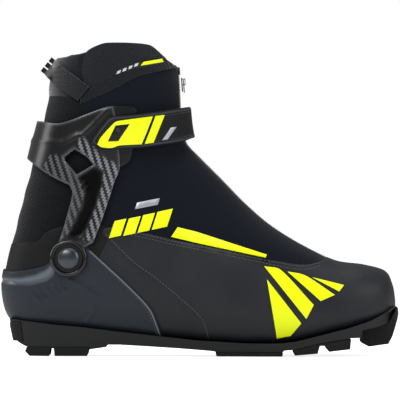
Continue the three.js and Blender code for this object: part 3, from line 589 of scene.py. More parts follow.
def leatherMaterial(name, dark, light, roughness=0.5, scale=900.0, bump=0.25, depth=0.00025, coat=0.0):
    material, tree, shader = newMaterial(name, roughness, coat=coat, specular=0.24)
    grain = useGroup(tree, "grain", objectVector(tree), Scale=scale)
    colour = mixColour(tree, grain.outputs["Drift"], shade(dark), shade(light))
    tree.links.new(colour, shader.inputs["Base Color"])
    rough = maths(tree, "ADD", maths(tree, "MULTIPLY", grain.outputs["Drift"], 0.12), roughness - 0.06)
    tree.links.new(rough, shader.inputs["Roughness"])
    addBump(tree, shader, grain.outputs["Height"], bump, depth)
    return material


def rubberMaterial(name, dark, light, roughness=0.65, scale=500.0, bump=0.2, depth=0.0002, coat=0.0,
                   metallic=0.0):
    material, tree, shader = newMaterial(name, roughness, coat=coat, metallic=metallic, specular=0.28)
    spread = useGroup(tree, "speckle", objectVector(tree), Scale=scale)
    colour = mixColour(tree, spread.outputs["Wide"], shade(dark), shade(light))
    tree.links.new(colour, shader.inputs["Base Color"])
    rough = maths(tree, "ADD", maths(tree, "MULTIPLY", spread.outputs["Fine"], 0.16), roughness - 0.08)
    tree.links.new(rough, shader.inputs["Roughness"])
    addBump(tree, shader, spread.outputs["Fine"], bump, depth)
    return material


# How far the surface is into its second finish, from the piece's own mask
def maskValue(tree):
    return addNode(tree, "Attribute", {"attribute_name": "mask"}).outputs["Fac"]


def counterMaterial():
    material, tree, shader = newMaterial("counterShell", 0.48, specular=0.3)
    spread = useGroup(tree, "speckle", objectVector(tree), Scale=700.0)
    mask = maskValue(tree)
    shell = mixColour(tree, spread.outputs["Wide"], shade("#191e26"), shade("#20262f"))
    tree.links.new(mixColour(tree, mask, shell, shade("#5f666f")), shader.inputs["Base Color"])
    tree.links.new(maths(tree, "MULTIPLY_ADD", mask, -0.2, 0.48), shader.inputs["Roughness"])
    tree.links.new(maths(tree, "MULTIPLY", mask, 0.5), shader.inputs["Metallic"])
    addBump(tree, shader, spread.outputs["Fine"], 0.08, 0.0002)
    return material


# Woven carbon under clear lacquer, in diagonal bands of light and dark tow
def carbonMaterial():
    material, tree, shader = newMaterial("carbonTwill", 0.34, specular=0.35)
    flat = addNode(tree, "Mapping", None, {"Rotation": (0, 0, 0.5)})
    tree.links.new(flatVector(tree), flat.inputs[0])
    cloth = useGroup(tree, "weave", flat.outputs[0], Threads=62.0, Twill=1.0)
    share = maths(tree, "MULTIPLY", cloth.outputs["Over"], maths(tree, "MULTIPLY_ADD",
                  cloth.outputs["Height"], 0.5, 0.4))
    # The mask runs from 1 on bare carbon through 0 on gloss plastic to -1 in the dull recess, whose darker
    # base colour is painted shade
    mask = maskValue(tree)
    carbon = maths(tree, "MULTIPLY", mask, 1.0, clamp=True)
    gloss = maths(tree, "ADD", mask, 1.0, clamp=True)
    tow = mixColour(tree, share, shade("#08090a"), shade("#85898f"))
    body = mixColour(tree, gloss, shade("#020202"), mixColour(tree, carbon, shade("#070708"), tow))
    tree.links.new(maths(tree, "MULTIPLY", gloss, 0.25), shader.inputs["Coat Weight"])
    tree.links.new(maths(tree, "MULTIPLY_ADD", gloss, 0.22, 0.08), shader.inputs["Specular IOR Level"])
    # Painted highlight: the base colour lightens towards each piece's rim, standing in for light caught on
    # the edges
    rim = addNode(tree, "Attribute", {"attribute_name": "rim"}).outputs["Fac"]
    nearEdge = maths(tree, "SUBTRACT", 1.0, rim, clamp=True)
    edgeHighlight = maths(tree, "MULTIPLY", maths(tree, "POWER", nearEdge, 2.0), 0.6)
    tree.links.new(mixColour(tree, edgeHighlight, body, shade("#6d7075")), shader.inputs["Base Color"])
    height = maths(tree, "MULTIPLY", cloth.outputs["Height"], carbon)
    addBump(tree, shader, height, 0.25, 0.0002)
    return material


materials = {
    "softshell": clothMaterial("softshell", "#080a12", "#11141f", 130.0, roughness=0.85, sheen=0.06,
                               bump=0.25),
    "collar": clothMaterial("collarKnit", "#0e0f11", "#26282c", 70.0, roughness=0.85, sheen=0.15, bump=0.9,
                            depth=0.0004),
    "knit": clothMaterial("backKnit", "#060709", "#141519", 56.0, roughness=0.9, sheen=0.1, bump=0.8,
                          depth=0.0004),
    "elastic": clothMaterial("ribElastic", "#0b0c0f", "#1d1e24", 60.0, twill=1.0, roughness=0.8, bump=0.6),
    "lining": clothMaterial("lining", "#06070b", "#11131c", 90.0, roughness=0.9, sheen=0.5),
    "webbing": clothMaterial("webbing", "#0b0b0d", "#222326", 75.0, twill=1.0, roughness=0.8, bump=0.8,
                             depth=0.0004),
    "leather": leatherMaterial("vampLeather", "#191a1e", "#25262b", 0.46, 1000.0, 0.22),
    "quarter": leatherMaterial("quarterLeather", "#1a1b1f", "#26272c", 0.5, 1000.0, 0.22),
    "ankle": leatherMaterial("ankleLeather", "#050608", "#0a0b0d", 0.62, 900.0, 0.18),
    "counter": counterMaterial(),
    "carbon": carbonMaterial(),
    "gloss": rubberMaterial("glossPlastic", "#060607", "#0b0b0d", 0.25, 500.0, 0.03, coat=0.5),
    "wing": rubberMaterial("wingPlastic", "#0a0b0c", "#101113", 0.36, 600.0, 0.06),
    "strap": leatherMaterial("strapFace", "#060709", "#0c0d10", 0.62, 800.0, 0.2),
    "strapRim": leatherMaterial("strapRim", "#2a2b2f", "#37383c", 0.5, 900.0, 0.15),
    # Light grey of the counter's edge tube is a painted highlight
    "counterHighlight": rubberMaterial("counterEdgeHighlight", "#5b5e62", "#707377", 0.5, 900.0, 0.1),
    "hook": clothMaterial("hookPatch", "#0c0c0d", "#212226", 120.0, roughness=0.95, sheen=0.5, bump=1.0),
    "yellow": rubberMaterial("yellowPrint", "#e9f800", "#f2ff00", 0.42, 500.0, 0.05),
    "yellowPlate": rubberMaterial("yellowPlate", "#e9f800", "#f2ff00", 0.3, 500.0, 0.03, coat=0.3),
    "silver": rubberMaterial("silverPrint", "#9b9fa6", "#b9bdc4", 0.35, 500.0, 0.05, metallic=0.5),
    "paleThread": clothMaterial("paleThread", "#6d6e72", "#8a8b90", 300.0, roughness=0.7),
    "greyThread": clothMaterial("greyThread", "#4a4b50", "#5d5e63", 300.0, roughness=0.7),
    "sole": rubberMaterial("soleRubber", "#131414", "#1c1e1d", 0.55, 450.0, 0.2),
    "tread": rubberMaterial("treadRubber", "#050506", "#0a0a0b", 0.65, 450.0, 0.3),
    # Light grey of the sole's top lip is a painted highlight
    "welt": rubberMaterial("weltLine", "#3a3e3c", "#4b4f4c", 0.5, 450.0, 0.1),
    "steel": rubberMaterial("steel", "#9a9da1", "#b7babd", 0.25, 900.0, 0.04, metallic=1.0),
    "chrome": rubberMaterial("darkChrome", "#44474d", "#585b62", 0.34, 900.0, 0.02, metallic=1.0),
    "washer": rubberMaterial("washerPlastic", "#0a0a0b", "#111214", 0.4, 600.0, 0.06),
    "board": rubberMaterial("insoleBoard", "#5b5346", "#6e6557", 0.8, 600.0, 0.3),
    "zipTeeth": rubberMaterial("zipTeeth", "#141417", "#202126", 0.4, 900.0, 0.04),
    "label": rubberMaterial("labelPrint", "#b9bcbf", "#cfd2d4", 0.5, 700.0, 0.05),
    "floor": rubberMaterial("floorMatte", "#f8f8f8", "#fafafa", 0.9, 20.0, 0.0),
}
floorShader = materials["floor"].node_tree.nodes["Principled BSDF"]
floorShader.inputs["Emission Color"].default_value = (1, 1, 1, 1)
floorTree = materials["floor"].node_tree
floorRays = addNode(floorTree, "LightPath")
floorGlow = maths(floorTree, "MULTIPLY", floorRays.outputs["Is Camera Ray"], 0.85)
floorTree.links.new(floorGlow, floorShader.inputs["Emission Strength"])
# The floor can be looked through from below
floorSide = addNode(floorTree, "NewGeometry")
floorClear = addNode(floorTree, "BsdfTransparent")
floorMix = addNode(floorTree, "MixShader")
floorTree.links.new(floorSide.outputs["Backfacing"], floorMix.inputs[0])
floorTree.links.new(floorShader.outputs["BSDF"], floorMix.inputs[1])
floorTree.links.new(floorClear.outputs["BSDF"], floorMix.inputs[2])
floorOut = next(node for node in floorTree.nodes if node.bl_idname == "ShaderNodeOutputMaterial")
floorTree.links.new(floorMix.outputs["Shader"], floorOut.inputs["Surface"])

print("materials built")


# Material and slot of a piece
def finish(obj, kind):
    obj.data.materials.clear()
    obj.data.materials.append(materials[kind])
    return obj


# Fabric and leather pieces: the object transform is baked into the mesh
def bendWithShaft(obj):
    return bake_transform(obj)


# Round or flattened bar along a path
def tube(path, radius, sides=8, closed=False, flatten=1.0, ups=None):
    path = np.array(path, float)
    n = len(path)
    verts = []
    faces = []
    for i in range(n):
        ahead = path[(i + 1) % n] if closed or i < n - 1 else path[i]
        behind = path[i - 1] if closed or i > 0 else path[i]
        tangent = ahead - behind
        tangent /= np.linalg.norm(tangent) + 1e-9
        up = np.array(ups[i]) if ups is not None else np.array([0.0, -1.0, 0.0])
        side = np.cross(tangent, up)
        side /= np.linalg.norm(side) + 1e-9
        up = np.cross(side, tangent)
        size = radius if np.isscalar(radius) else radius[i]
        for k in range(sides):
            angle = 2 * math.pi * k / sides
            verts.append(path[i] + (side * math.cos(angle) + up * math.sin(angle) * flatten) * size)
    rings = n if closed else n - 1
    for i in range(rings):
        j = (i + 1) % n
        for k in range(sides):
            m = (k + 1) % sides
            faces.append((i * sides + k, i * sides + m, j * sides + m, j * sides + k))
    if not closed:
        faces.append(tuple(range(sides))[::-1])
        faces.append(tuple((n - 1) * sides + k for k in range(sides)))
    return verts, faces


# Turn every face outward
def fixNormals(obj):
    bm = bmesh.new()
    bm.from_mesh(obj.data)
    bmesh.ops.recalc_face_normals(bm, faces=bm.faces)
    bm.to_mesh(obj.data)
    bm.free()
    obj.data.update()


# Points spaced evenly along a polyline
def even(points, step):
    points = np.array(points, float)
    gaps = np.linalg.norm(np.diff(points, axis=0), axis=1)
    total = np.concatenate([[0], np.cumsum(gaps)])
    count = max(2, int(total[-1] / step) + 1)
    at = np.linspace(0, total[-1], count)
    return np.stack([np.interp(at, total, points[:, i]) for i in range(points.shape[1])], 1)


# Points on the outside of the boot along a side view line, with the way out at each
def lineOnLast(line, kind, out, step=1.5, corner=60):
    flat = even(sideToFlat(smoothLine(line, corner=corner)), step)
    if kind == "medial":
        flat = mirrored(flat)
    if kind == "front":
        other = flat.copy()
        other[:, 1] = 2 * halfTurn - other[:, 1]
        startsHere = abs(flat[0, 1] - halfTurn) < 6
        flat = np.vstack([flat[::-1], other]) if startsHere else np.vstack([flat, other[::-1]])
    if kind == "back":
        other = mirrored(flat)
        startsHere = abs(flat[0, 1]) < 6
        flat = np.vstack([flat[::-1], other]) if startsHere else np.vstack([flat, other[::-1]])
    u, a = fromFlat(flat)
    return lifted(u, a, out), lastNormal(u, a)


# Several closed parts in one object
def mergeParts(name, parts):
    verts = []
    faces = []
    for v, f in parts:
        base = len(verts)
        verts += list(v)
        faces += [tuple(i + base for i in one) for one in f]
    obj = newObject(name, np.array(verts) * mm, faces)
    fixNormals(obj)
    return obj


# A raised line such as a piping or a welt
def piping(name, line, kind, out, radius, flatten=0.7, step=1.6):
    path, ups = lineOnLast(line, kind, out, step)
    return mergeParts(name, [tube(path, radius, 8, False, flatten, ups)])


# Separate thread lengths laid into the surface
def stitches(name, line, kind, out, pitch=3.0, length=2.0, radius=0.3, corner=60):
    path, ups = lineOnLast(line, kind, out, 0.5, corner)
    gaps = np.linalg.norm(np.diff(path, axis=0), axis=1)
    total = np.concatenate([[0], np.cumsum(gaps)])
    parts = []
    at = pitch * 0.3
    while at + length < total[-1]:
        marks = np.linspace(at, at + length, 4)
        points = np.stack([np.interp(marks, total, path[:, i]) for i in range(3)], 1)
        away = np.stack([np.interp(marks, total, ups[:, i]) for i in range(3)], 1)
        dip = np.array([-0.3, 0.06, 0.06, -0.3])[:, None] * radius * 2
        taper = [radius * 0.6, radius, radius, radius * 0.6]
        parts.append(tube(points + away * dip, taper, 6, False, 0.8, away))
        at += pitch
    return mergeParts(name, parts)


# A softened copy of a CAD piece, which it stands for
def softened(node, kind, width=0.5, segments=2, angle=32):
    source = nodes[node]
    mesh = source.data.copy()
    obj = bpy.data.objects.new("soft_" + node, mesh)
    bpy.context.scene.collection.objects.link(obj)
    bm = bmesh.new()
    bm.from_mesh(mesh)
    bmesh.ops.remove_doubles(bm, verts=bm.verts, dist=0.00002)
    bmesh.ops.dissolve_limit(bm, angle_limit=math.radians(1.2), verts=bm.verts, edges=bm.edges)
    bm.to_mesh(mesh)
    bm.free()
    shadeByAngle(mesh, angle)
    bevel = obj.modifiers.new("edges", "BEVEL")
    bevel.width = width * mm
    bevel.segments = segments
    bevel.limit_method = "ANGLE"
    bevel.angle_limit = math.radians(angle)
    bevel.use_clamp_overlap = True
    bevel.harden_normals = True
    finish(obj, kind)
    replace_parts(obj, node)
    return obj


# Sole: the CAD carries the real moulded shape, and its edges are softened here
soleParts = {
    "outsole": ("sole", 0.9), "heel_insert": ("tread", 0.5), "toe_block": ("tread", 0.8),
    "forefoot_tread_lateral": ("tread", 0.7), "forefoot_tread_centre": ("tread", 0.7),
    "forefoot_tread_medial": ("tread", 0.7), "front_tread_lateral": ("tread", 0.6),
    "front_tread_centre": ("tread", 0.6), "front_tread_medial": ("tread", 0.6),
    "heel_tread_lateral": ("tread", 0.8), "heel_tread_medial": ("tread", 0.8), "toe_bar": ("steel", 0.15),
    "insole_board": ("board", 0.3),
}
for node, (kind, width) in soleParts.items():
    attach(softened(node, kind, width), "boot")
print("sole made")

# Outlines in the side view, in mm
shapes = {
    "vampTop": [(93.5, 72.2), (88.4, 70.1), (77.4, 67.5), (66.4, 68.3), (44.4, 72.7), (0.4, 81.8),
                (-18.7, 85.5), (-36.6, 89.7), (-54.7, 93.3), (-65, 94.3), (-70.8, 92.9)],
    "vampSeam": [(-70.8, 89.2), (-49.5, 68), (-34, 57), (-10.6, 37.4), (0.4, 26), (5, 11.2)],
    "soleEdge": [(-150, 24), (-135, 24), (-122, 22.4), (-105, 20.2), (-87, 18.7), (-58, 15), (-26, 11.5),
                 (0, 8.9), (35, 7), (58, 7), (71, 8.4), (89, 13), (109, 18.1), (125, 23.3), (134, 27.9),
                 (141, 33),
                 (144.6, 37.5)],
    "counterTop": [(-144.5, 62.4), (-139, 62), (-133.6, 62), (-121.7, 64), (-113.5, 66), (-109.4, 68.6),
                   (-106.8, 71.3), (-100, 80), (-84, 84), (-78.5, 76.7)],
    "counterFront": [(-78.5, 76.7), (-52.8, 53.2), (-38.8, 39.3), (-33.2, 31.8), (-25.7, 12.2)],
    "weltTop": [(-146.5, 27.5), (-135, 26.2), (-122, 24.6), (-105, 22.4), (-87, 20.8), (-58, 17.2),
                (-26, 13.7), (0, 10.9), (35, 9), (58, 9), (71, 10.6), (89, 15.2), (109, 20.3), (125, 25.5),
                (134, 30.1), (143, 36)],
    "ankleTop": [(-138, 82.6), (-118, 84), (-110.5, 91.4), (-101, 94.5)],
}
edgeX = np.array(shapes["soleEdge"])


# Stretch of the edge where the upper meets the sole
def soleEdge(x0, x1):
    count = max(2, int(abs(x1 - x0) / 6))
    return [(x, float(np.interp(x, edgeX[:, 0], edgeX[:, 1]))) for x in np.linspace(x0, x1, count)]


def smoothStep(low, high, value):
    t = np.clip((value - low) / (high - low), 0, 1)
    return t * t * (3 - 2 * t)


def distanceToLine(points, line):
    line = np.array(line, float)
    best = np.full(len(points), 1e9)
    for p, q in zip(line[:-1], line[1:]):
        d = q - p
        t = np.clip(((points - p) @ d) / (d @ d + 1e-12), 0, 1)
        best = np.minimum(best, np.linalg.norm(points - (p + t[:, None] * d), axis=1))
    return best


def groove(points, line, width, depth):
    far = distanceToLine(points, line)
    return -depth * np.exp(-(far / width) ** 2)


# Leather vamp, over the toes
vamp = {"out": 0.0, "thick": 1.5, "step": 2.3, "rim": 0.8}
vampLine = shapes["vampTop"] + shapes["vampSeam"] + soleEdge(8, 145.8)
stitchTop = [(x, z - 2.6) for x, z in shapes["vampTop"][1:-1]]


def vampRelief(base, dist):
    side = base[:, [0, 2]]
    crease = -0.5 * np.exp(-((side[:, 0] - 40 - (side[:, 1] - 40) * 0.25) / 9) ** 2)
    crease *= smoothStep(20, 60, side[:, 1])
    return crease + groove(side, stitchTop, 0.7, 0.25)


vampObj = patch("vampLeather", regionLoop("front", vampLine), relief=vampRelief, **vamp)
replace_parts(bendWithShaft(finish(vampObj, "leather")), "vamp")
print("vamp made", len(vampObj.data.vertices))

# Quarters between the vamp seam and the heel counter
quarter = {"out": -0.45, "thick": 1.0, "step": 2.6, "rim": 0.5}
quarterLine = [(-70.8, 91), (-49.5, 69.5), (-34, 58.5), (-9, 39), (3, 27), (9, 10.6)] + soleEdge(4, -32) + [
    (-40, 30), (-46, 38), (-59, 51), (-86, 75), (-86, 90)]
for side in ("lateral", "medial"):
    quarterObj = patch("quarter" + side.title(), regionLoop(side, quarterLine), **quarter)
    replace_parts(bendWithShaft(finish(quarterObj, "quarter")), "quarter_" + side)
print("quarters made")

# Heel counter shell with its raised edge, ribs and satin crescent
counter = {"out": 1.5, "thick": 2.6, "step": 1.15, "rim": 0.9}
counterLine = shapes["counterTop"] + shapes["counterFront"][1:] + soleEdge(-28, -150)
counterRibs = [[(-121.7, 46), (-115.5, 40.4)], [(-116.8, 48), (-110.9, 42.5)], [(-111.9, 50),
(-106.2, 44.5)],
               [(-107, 52), (-101.6, 46.6)], [(-102, 53.7), (-97, 48.6)]]
crescent = [(-150, 53), (-137, 51.8), (-123, 51.6), (-111, 54.6), (-105.4, 58.8), (-103.6, 66),
            (-107.2, 69.4), (-112.2, 64.2), (-120, 60.4), (-130, 58.2), (-150, 57.6)]
raisedEdge = [(-97, 57.8), (-72.7, 43.5), (-76, 36), (-82.6, 26.4)]


def counterRelief(base, dist):
    side = base[:, [0, 2]]
    height = np.zeros(len(base))
    for ribLineHere in counterRibs:
        height += 1.1 * np.exp(-(distanceToLine(side, ribLineHere) / 1.0) ** 4)
    far = distanceToLine(side, crescent + crescent[:1])
    within = inside(np.array(crescent), side)
    height -= np.where(within, 0.9 * smoothStep(0, 2.6, far), 0)
    crest = distanceToLine(side, raisedEdge)
    height += 1.1 * np.exp(-(crest / 1.6) ** 2)
    bulge = smoothStep(0, 26, side[:, 0] + 95) * smoothStep(0, 10, 62 - side[:, 1])
    return height - bulge * 0.15


def counterMask(base):
    side = base[:, [0, 2]]
    within = inside(np.array(crescent), side)
    return np.where(within, smoothStep(0, 2.4, distanceToLine(side, crescent + crescent[:1])), 0)


counterObj = patch("heelCounter", regionLoop("back", counterLine), relief=counterRelief, mask=counterMask,
                   **counter)
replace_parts(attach(finish(counterObj, "counter"), "boot"), "heel_counter")
for side in ("lateral", "medial"):
    inset = [(x - 1.6, z + 0.4) for x, z in shapes["counterFront"]]
    # Raised tube on the counter's front edge, coloured light grey as a painted highlight
    edgeHighlight = piping("counterEdge" + side.title(), inset, side, 1.45, 0.55)
    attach(finish(edgeHighlight, "counterHighlight"), "boot")
    inset = [(x - 3.6, z + 0.9) for x, z in shapes["counterFront"]]
    thread = stitches("counterThread" + side.title(), inset, side, 1.55, 2.6, 1.7, 0.28)
    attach(finish(thread, "greyThread"), "boot")
print("counter made", len(counterObj.data.vertices))

# Thin raised lip between the upper and the sole, coloured light grey as a painted highlight
for side in ("lateral", "medial"):
    welt = piping("welt" + side.title(), shapes["weltTop"], side, 0.9, 0.7, 0.8)
    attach(finish(welt, "welt"), "boot")

# Smooth panel over the ankle bones, under the counter and the cuff
ankle = {"out": -0.1, "thick": 1.2, "step": 2.3, "rim": 0.6}
ankleLine = shapes["ankleTop"] + [
    (-92, 96), (-70, 96), (-64, 90), (-76, 70), (-96, 60), (-120, 58), (-145, 57)]
ankleObj = patch("anklePanel", regionLoop("back", ankleLine), **ankle)
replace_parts(bendWithShaft(finish(ankleObj, "ankle")), "ankle_panel")

# Knitted back of the shaft
knitLine = [(-110.5, 196), (-89, 189), (-80, 184), (-76, 160), (-74, 120), (-72, 97), (-84, 92), (-120, 78),
            (-137.6, 79)]
knit = {"out": -0.7, "thick": 1.2, "step": 2.4, "rim": 0.4}


def knitRelief(base, dist):
    return 0.25 * np.sin(base[:, 2] / 3.1) * smoothStep(60, 90, base[:, 2])


knitObj = patch("backKnit", regionLoop("back", knitLine), relief=knitRelief, **knit)
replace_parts(bendWithShaft(finish(knitObj, "knit")), "achilles_gusset", "collar_fabric")

# Stretch cover over the laces, one side each, meeting at the zip
coverLine = [(3.3, 142.8), (-5.5, 151.6), (-9.6, 157.5), (-11.6, 170), (-13.6, 183.9), (-14.6, 194),
             (-15.6, 205), (-16.5, 213), (-26, 209.5), (-45.4, 204), (-64.2, 193.7), (-86.7, 184.4),
             (-84, 160), (-80, 130), (-78, 96), (-70.8, 90), (-54.7, 91), (-36.6, 87.4), (-18.7, 83.2),
             (0.4, 79.5), (44.4, 70.4), (66.4, 64.5), (84, 63), (98, 67.5), (99.5, 70.3), (90, 74),
             (78.2, 79.6), (65, 87), (51.7, 95.8), (38.5, 106.8), (29.7, 115.6), (20.9, 125.1),
             (12.1, 134)]
cover = {"out": -0.5, "thick": 1.25, "step": 2.3, "rim": 0.35}
folds = [
    ([(-30, 150), (-18, 138), (2, 124)], 5.0, 1.0), ([(-45, 150), (-28, 128), (-6, 106)], 7.0, 1.3),
    ([(-14, 157), (-4, 148), (8, 133)], 3.6, 0.8), ([(-58, 148), (-50, 122), (-34, 104)], 7.5, 1.1),
    ([(10, 118), (28, 104), (50, 88)], 7.0, 0.9), ([(-20, 196), (-34, 188), (-52, 186)], 5.0, 0.8),
    ([(-66, 128), (-60, 110), (-50, 98)], 5.5, 0.9), ([(-24, 205), (-34, 197), (-56, 190)], 4.0, 0.5),
]


def coverRelief(base, dist):
    side = base[:, [0, 2]]
    height = np.zeros(len(base))
    for line, width, depth in folds:
        far = distanceToLine(side, line)
        height += depth * (0.5 - 1.0 * np.exp(-(far / width) ** 2)) * 0.6
        height += depth * 0.5 * np.exp(-((far - width * 1.7) / width) ** 2)
    wave = np.sin(side[:, 0] * 0.11 + side[:, 1] * 0.07) * np.sin(side[:, 1] * 0.09 - side[:, 0] * 0.03)
    height += 0.35 * wave
    return np.clip(height * 1.7 + 0.35, -0.75, 1.3) * smoothStep(1.5, 14, dist)


# The two covers meet along the middle of the instep, a narrow zip's width apart
def snapToFront(loops):
    limit = halfTurn - 1.3
    for loop in loops:
        near = np.abs(loop[:, 1]) > 2.55 * anglePace
        loop[near, 1] = np.sign(loop[near, 1]) * limit
    return [tidyLoop(loop) for loop in loops]


for side in ("lateral", "medial"):
    coverLoop = snapToFront(regionLoop(side, coverLine))
    coverObj = patch("laceCover" + side.title(), coverLoop, relief=coverRelief, **cover)
    bendWithShaft(finish(coverObj, "softshell"))
    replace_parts(coverObj, "lace_cover_" + side, "shaft_cover_" + side, "flex_gusset_" + side)
print("upper cloth made")

# Double row of thread along the vamp's top edge, and one along its seam
for row, drop in enumerate((1.6, 3.8)):
    line = [(x, z - drop) for x, z in shapes["vampTop"][1:-1]]
    for side in ("lateral", "medial"):
        made = stitches("vampThread" + str(row) + side.title(), line, side, 0.12, 2.6, 1.8, 0.28)
        bendWithShaft(finish(made, "greyThread"))
for side in ("lateral", "medial"):
    line = [(x + 2.0, z + 0.6) for x, z in shapes["vampSeam"]]
    made = stitches("seamThread" + side.title(), line, side, 0.12, 2.6, 1.8, 0.28)
    bendWithShaft(finish(made, "greyThread"))

# Padded collar dome above its ribbed band
dome = {"out": -0.9, "thick": 0.9, "step": 1.8, "rim": 0.8}
rib = {"out": 0.2, "thick": 1.0, "step": 1.2, "rim": 0.5}
domeLine = [(-17.5, 213.6), (-24.6, 218.4), (-29, 222.8), (-35.6, 227.2), (-49.5, 228.6), (-67.2, 228.6),
            (-73, 227.2), (-81.8, 222.8), (-91, 212), (-89.5, 199), (-87, 187.5), (-64.2, 197.5),
            (-45.4, 207.6), (-26, 212.5)]
ribLine = [(-16, 211.6), (-26, 209), (-45.4, 204), (-64.2, 193.7), (-86.7, 184.4), (-87.2, 192),
           (-66, 201.2), (-46, 210.6), (-26, 214.4), (-18, 213.2)]


def domeRelief(base, dist):
    return 1.0 * smoothStep(0, 9, dist) + 0.12 * np.sin(base[:, 0] / 2.1) * np.sin(base[:, 2] / 2.1)


def ribRelief(base, dist):
    return 0.26 * np.sin((base[:, 0] * 0.88 + base[:, 2] * 0.47) * 2 * math.pi / 2.4)


for side in ("lateral", "medial"):
    domeObj = patch("collarDome" + side.title(), regionLoop(side, domeLine), relief=domeRelief, **dome)
    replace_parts(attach(finish(domeObj, "collar"), "cuff"), "collar_top_" + side)
    ribObj = patch("collarRib" + side.title(), regionLoop(side, ribLine), relief=ribRelief, **rib)
    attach(finish(ribObj, "elastic"), "cuff")
print("collar made")

# Cuff: carbon arms round a recessed web with a window, and a band round the back
cuffOuterLine = [(-126, 171), (-115.2, 171.4), (-101.7, 169.6), (-92.3, 172.3), (-81.1, 177.1),
                 (-68.8, 181.7), (-63, 182.6), (-60, 168), (-59.2, 152), (-58.8, 137.8), (-62.9, 127),
                 (-66.6, 114.4),
                 (-71.3, 99.5), (-77.5, 83)]
pivotPoint = (float(pivot[0]), float(pivot[2]))
bossRadius = 13.2
bossTurns = [math.radians(degrees) for degrees in range(35, -215, -16)]
bossArc = [(pivotPoint[0] + bossRadius * math.cos(t), pivotPoint[1] + bossRadius * math.sin(t))
           for t in bossTurns]
cuffBackLine = [(-102.4, 84), (-97.5, 99.5), (-92.4, 119.3), (-94.3, 125.1), (-105.5, 130.7),
(-115.8, 137.8),
                (-122.9, 143.5), (-126, 145.7)]
windowLine = [(-90.4, 151.1), (-82.1, 145.7), (-77.4, 140.2), (-89.2, 132.9), (-97.1, 142.9),
(-97.3, 145.3)]
webLine = [(-76, 139.5), (-70.5, 135.4), (-71.3, 127), (-75.6, 111.9), (-79.3, 100.9), (-85, 87.5),
(-92, 86),
           (-95.9, 89), (-91, 99.8), (-84.9, 111.9), (-83.1, 121.8), (-88.6, 131.6)]
creaseLine = [(-126, 156.9), (-118.2, 156.9), (-97.5, 155.1), (-88.7, 160.7), (-84.9, 161.1), (-67, 179.8)]
cuff = {"out": 4.6, "thick": 2.3, "step": 1.2, "rim": 1.0}
frontArm = [(-59, 140), (-56, 130), (-66, 99), (-76, 84), (-85, 84), (-79.6, 101), (-75.6, 112),
(-71.3, 127),
            (-70.5, 135.4), (-76, 139.5), (-84, 147), (-89, 153), (-87, 160), (-84.9, 161.1),
            (-70.9, 146.7)]
rearArm = [(-96, 88), (-103, 84), (-97.5, 99.5), (-92, 119.3), (-94, 126), (-107, 132), (-112, 138),
           (-106, 148), (-98, 146), (-97.5, 142.9), (-88.6, 131.6), (-83.1, 121.8), (-85, 112), (-91, 99.8)]


def cuffRelief(base, dist):
    side = base[:, [0, 2]]
    within = inside(np.array(webLine), side)
    far = distanceToLine(side, webLine + webLine[:1])
    height = -1.3 * np.where(within, smoothStep(0, 2.4, far), 0)
    height += 0.35 * np.exp(-(distanceToLine(side, creaseLine) / 1.5) ** 2)
    below = np.interp(side[:, 0], [p[0] for p in creaseLine], [p[1] for p in creaseLine])
    height -= 0.5 * smoothStep(0, 5, side[:, 1] - below) * (side[:, 0] < -66)
    height += 0.5 * np.exp(-(distanceToLine(side, windowLine + windowLine[:1]) / 2.2) ** 2) * ~within
    return height


# Carbon shows on the arms, strongest on the front one; the recess between them is dull, with a darker base
# colour that is painted shade
def carbonMask(base):
    side = base[:, [0, 2]]

    def share(line, soft):
        return inside(np.array(line), side) * smoothStep(0, soft, distanceToLine(side, line + line[:1]))

    shown = np.clip(share(frontArm, 1.0) + share(rearArm, 1.0) * 0.45, 0, 1)
    return shown - share(webLine, 1.4) * (1 - shown)


def circleLine(centre, radius, count=28):
    turns = np.linspace(0, 2 * math.pi, count, endpoint=False)
    return [(centre[0] + radius * math.cos(t), centre[1] + radius * math.sin(t)) for t in turns]


cuffLine = cuffOuterLine + bossArc + cuffBackLine
windowFlat = tidyLoop(sideToFlat(smoothLine(windowLine, closed=True, corner=30)))
seatFlat = tidyLoop(sideToFlat(smoothLine(circleLine(pivotPoint, 10.9), closed=True)))
cuffHoles = [windowFlat, mirrored(windowFlat), seatFlat, mirrored(seatFlat)]
cuffObj = patch("cuff", regionLoop("back", cuffLine), relief=cuffRelief, holes=cuffHoles, mask=carbonMask,
                **cuff)
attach(finish(cuffObj, "carbon"), "cuff")
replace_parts(cuffObj, "cuff")


# Turned parts about a line through the pivot: rows are radius and distance out from the middle of the boot
def turned(name, rows, way, kind, body, sides=56):
    verts = []
    faces = []
    for radius, reach in rows:
        for k in range(sides):
            t = 2 * math.pi * k / sides
            x = pivotPoint[0] + radius * math.cos(t)
            z = pivotPoint[1] + radius * math.sin(t)
            verts.append((x, way * reach, z))
    count = len(rows)
    for i in range(count):
        j = (i + 1) % count
        for k in range(sides):
            m = (k + 1) % sides
            faces.append((i * sides + k, i * sides + m, j * sides + m, j * sides + k))
    obj = newObject(name, np.array(verts) * mm, faces, degrees=50)
    fixNormals(obj)
    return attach(finish(obj, kind), body)


# Raised ring of the boss round each washer
for side, way in (("lateral", -1), ("medial", 1)):
    low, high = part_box("pivot_washer_" + side)
    reach = max(abs(low[1]), abs(high[1])) / mm
    ringRows = [(10.6, reach - 4), (10.6, reach - 0.4), (11.1, reach + 0.1), (12.4, reach),
                (13.3, reach - 0.7), (13.7, reach - 1.8), (13.7, reach - 4)]
    turned("boss" + side.title(), ringRows, way, "gloss", "cuff")
print("cuff made", len(cuffObj.data.vertices))

# Wings that carry the strap, in front of the cuff
wing = {"out": 3.8, "thick": 1.5, "step": 1.8, "rim": 0.7}
wingLine = [(-63.5, 182.6), (-50.3, 182.6), (-46.7, 179.8), (-48.2, 164), (-50, 149.8), (-51, 145),
            (-52.9, 141.8), (-58.8, 138.2), (-59.4, 152), (-60.2, 168)]
for side in ("lateral", "medial"):
    wingObj = patch("wing" + side.title(), regionLoop(side, wingLine), **wing)
    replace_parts(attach(finish(wingObj, "wing"), "cuff"), "cuff_wing_" + side)
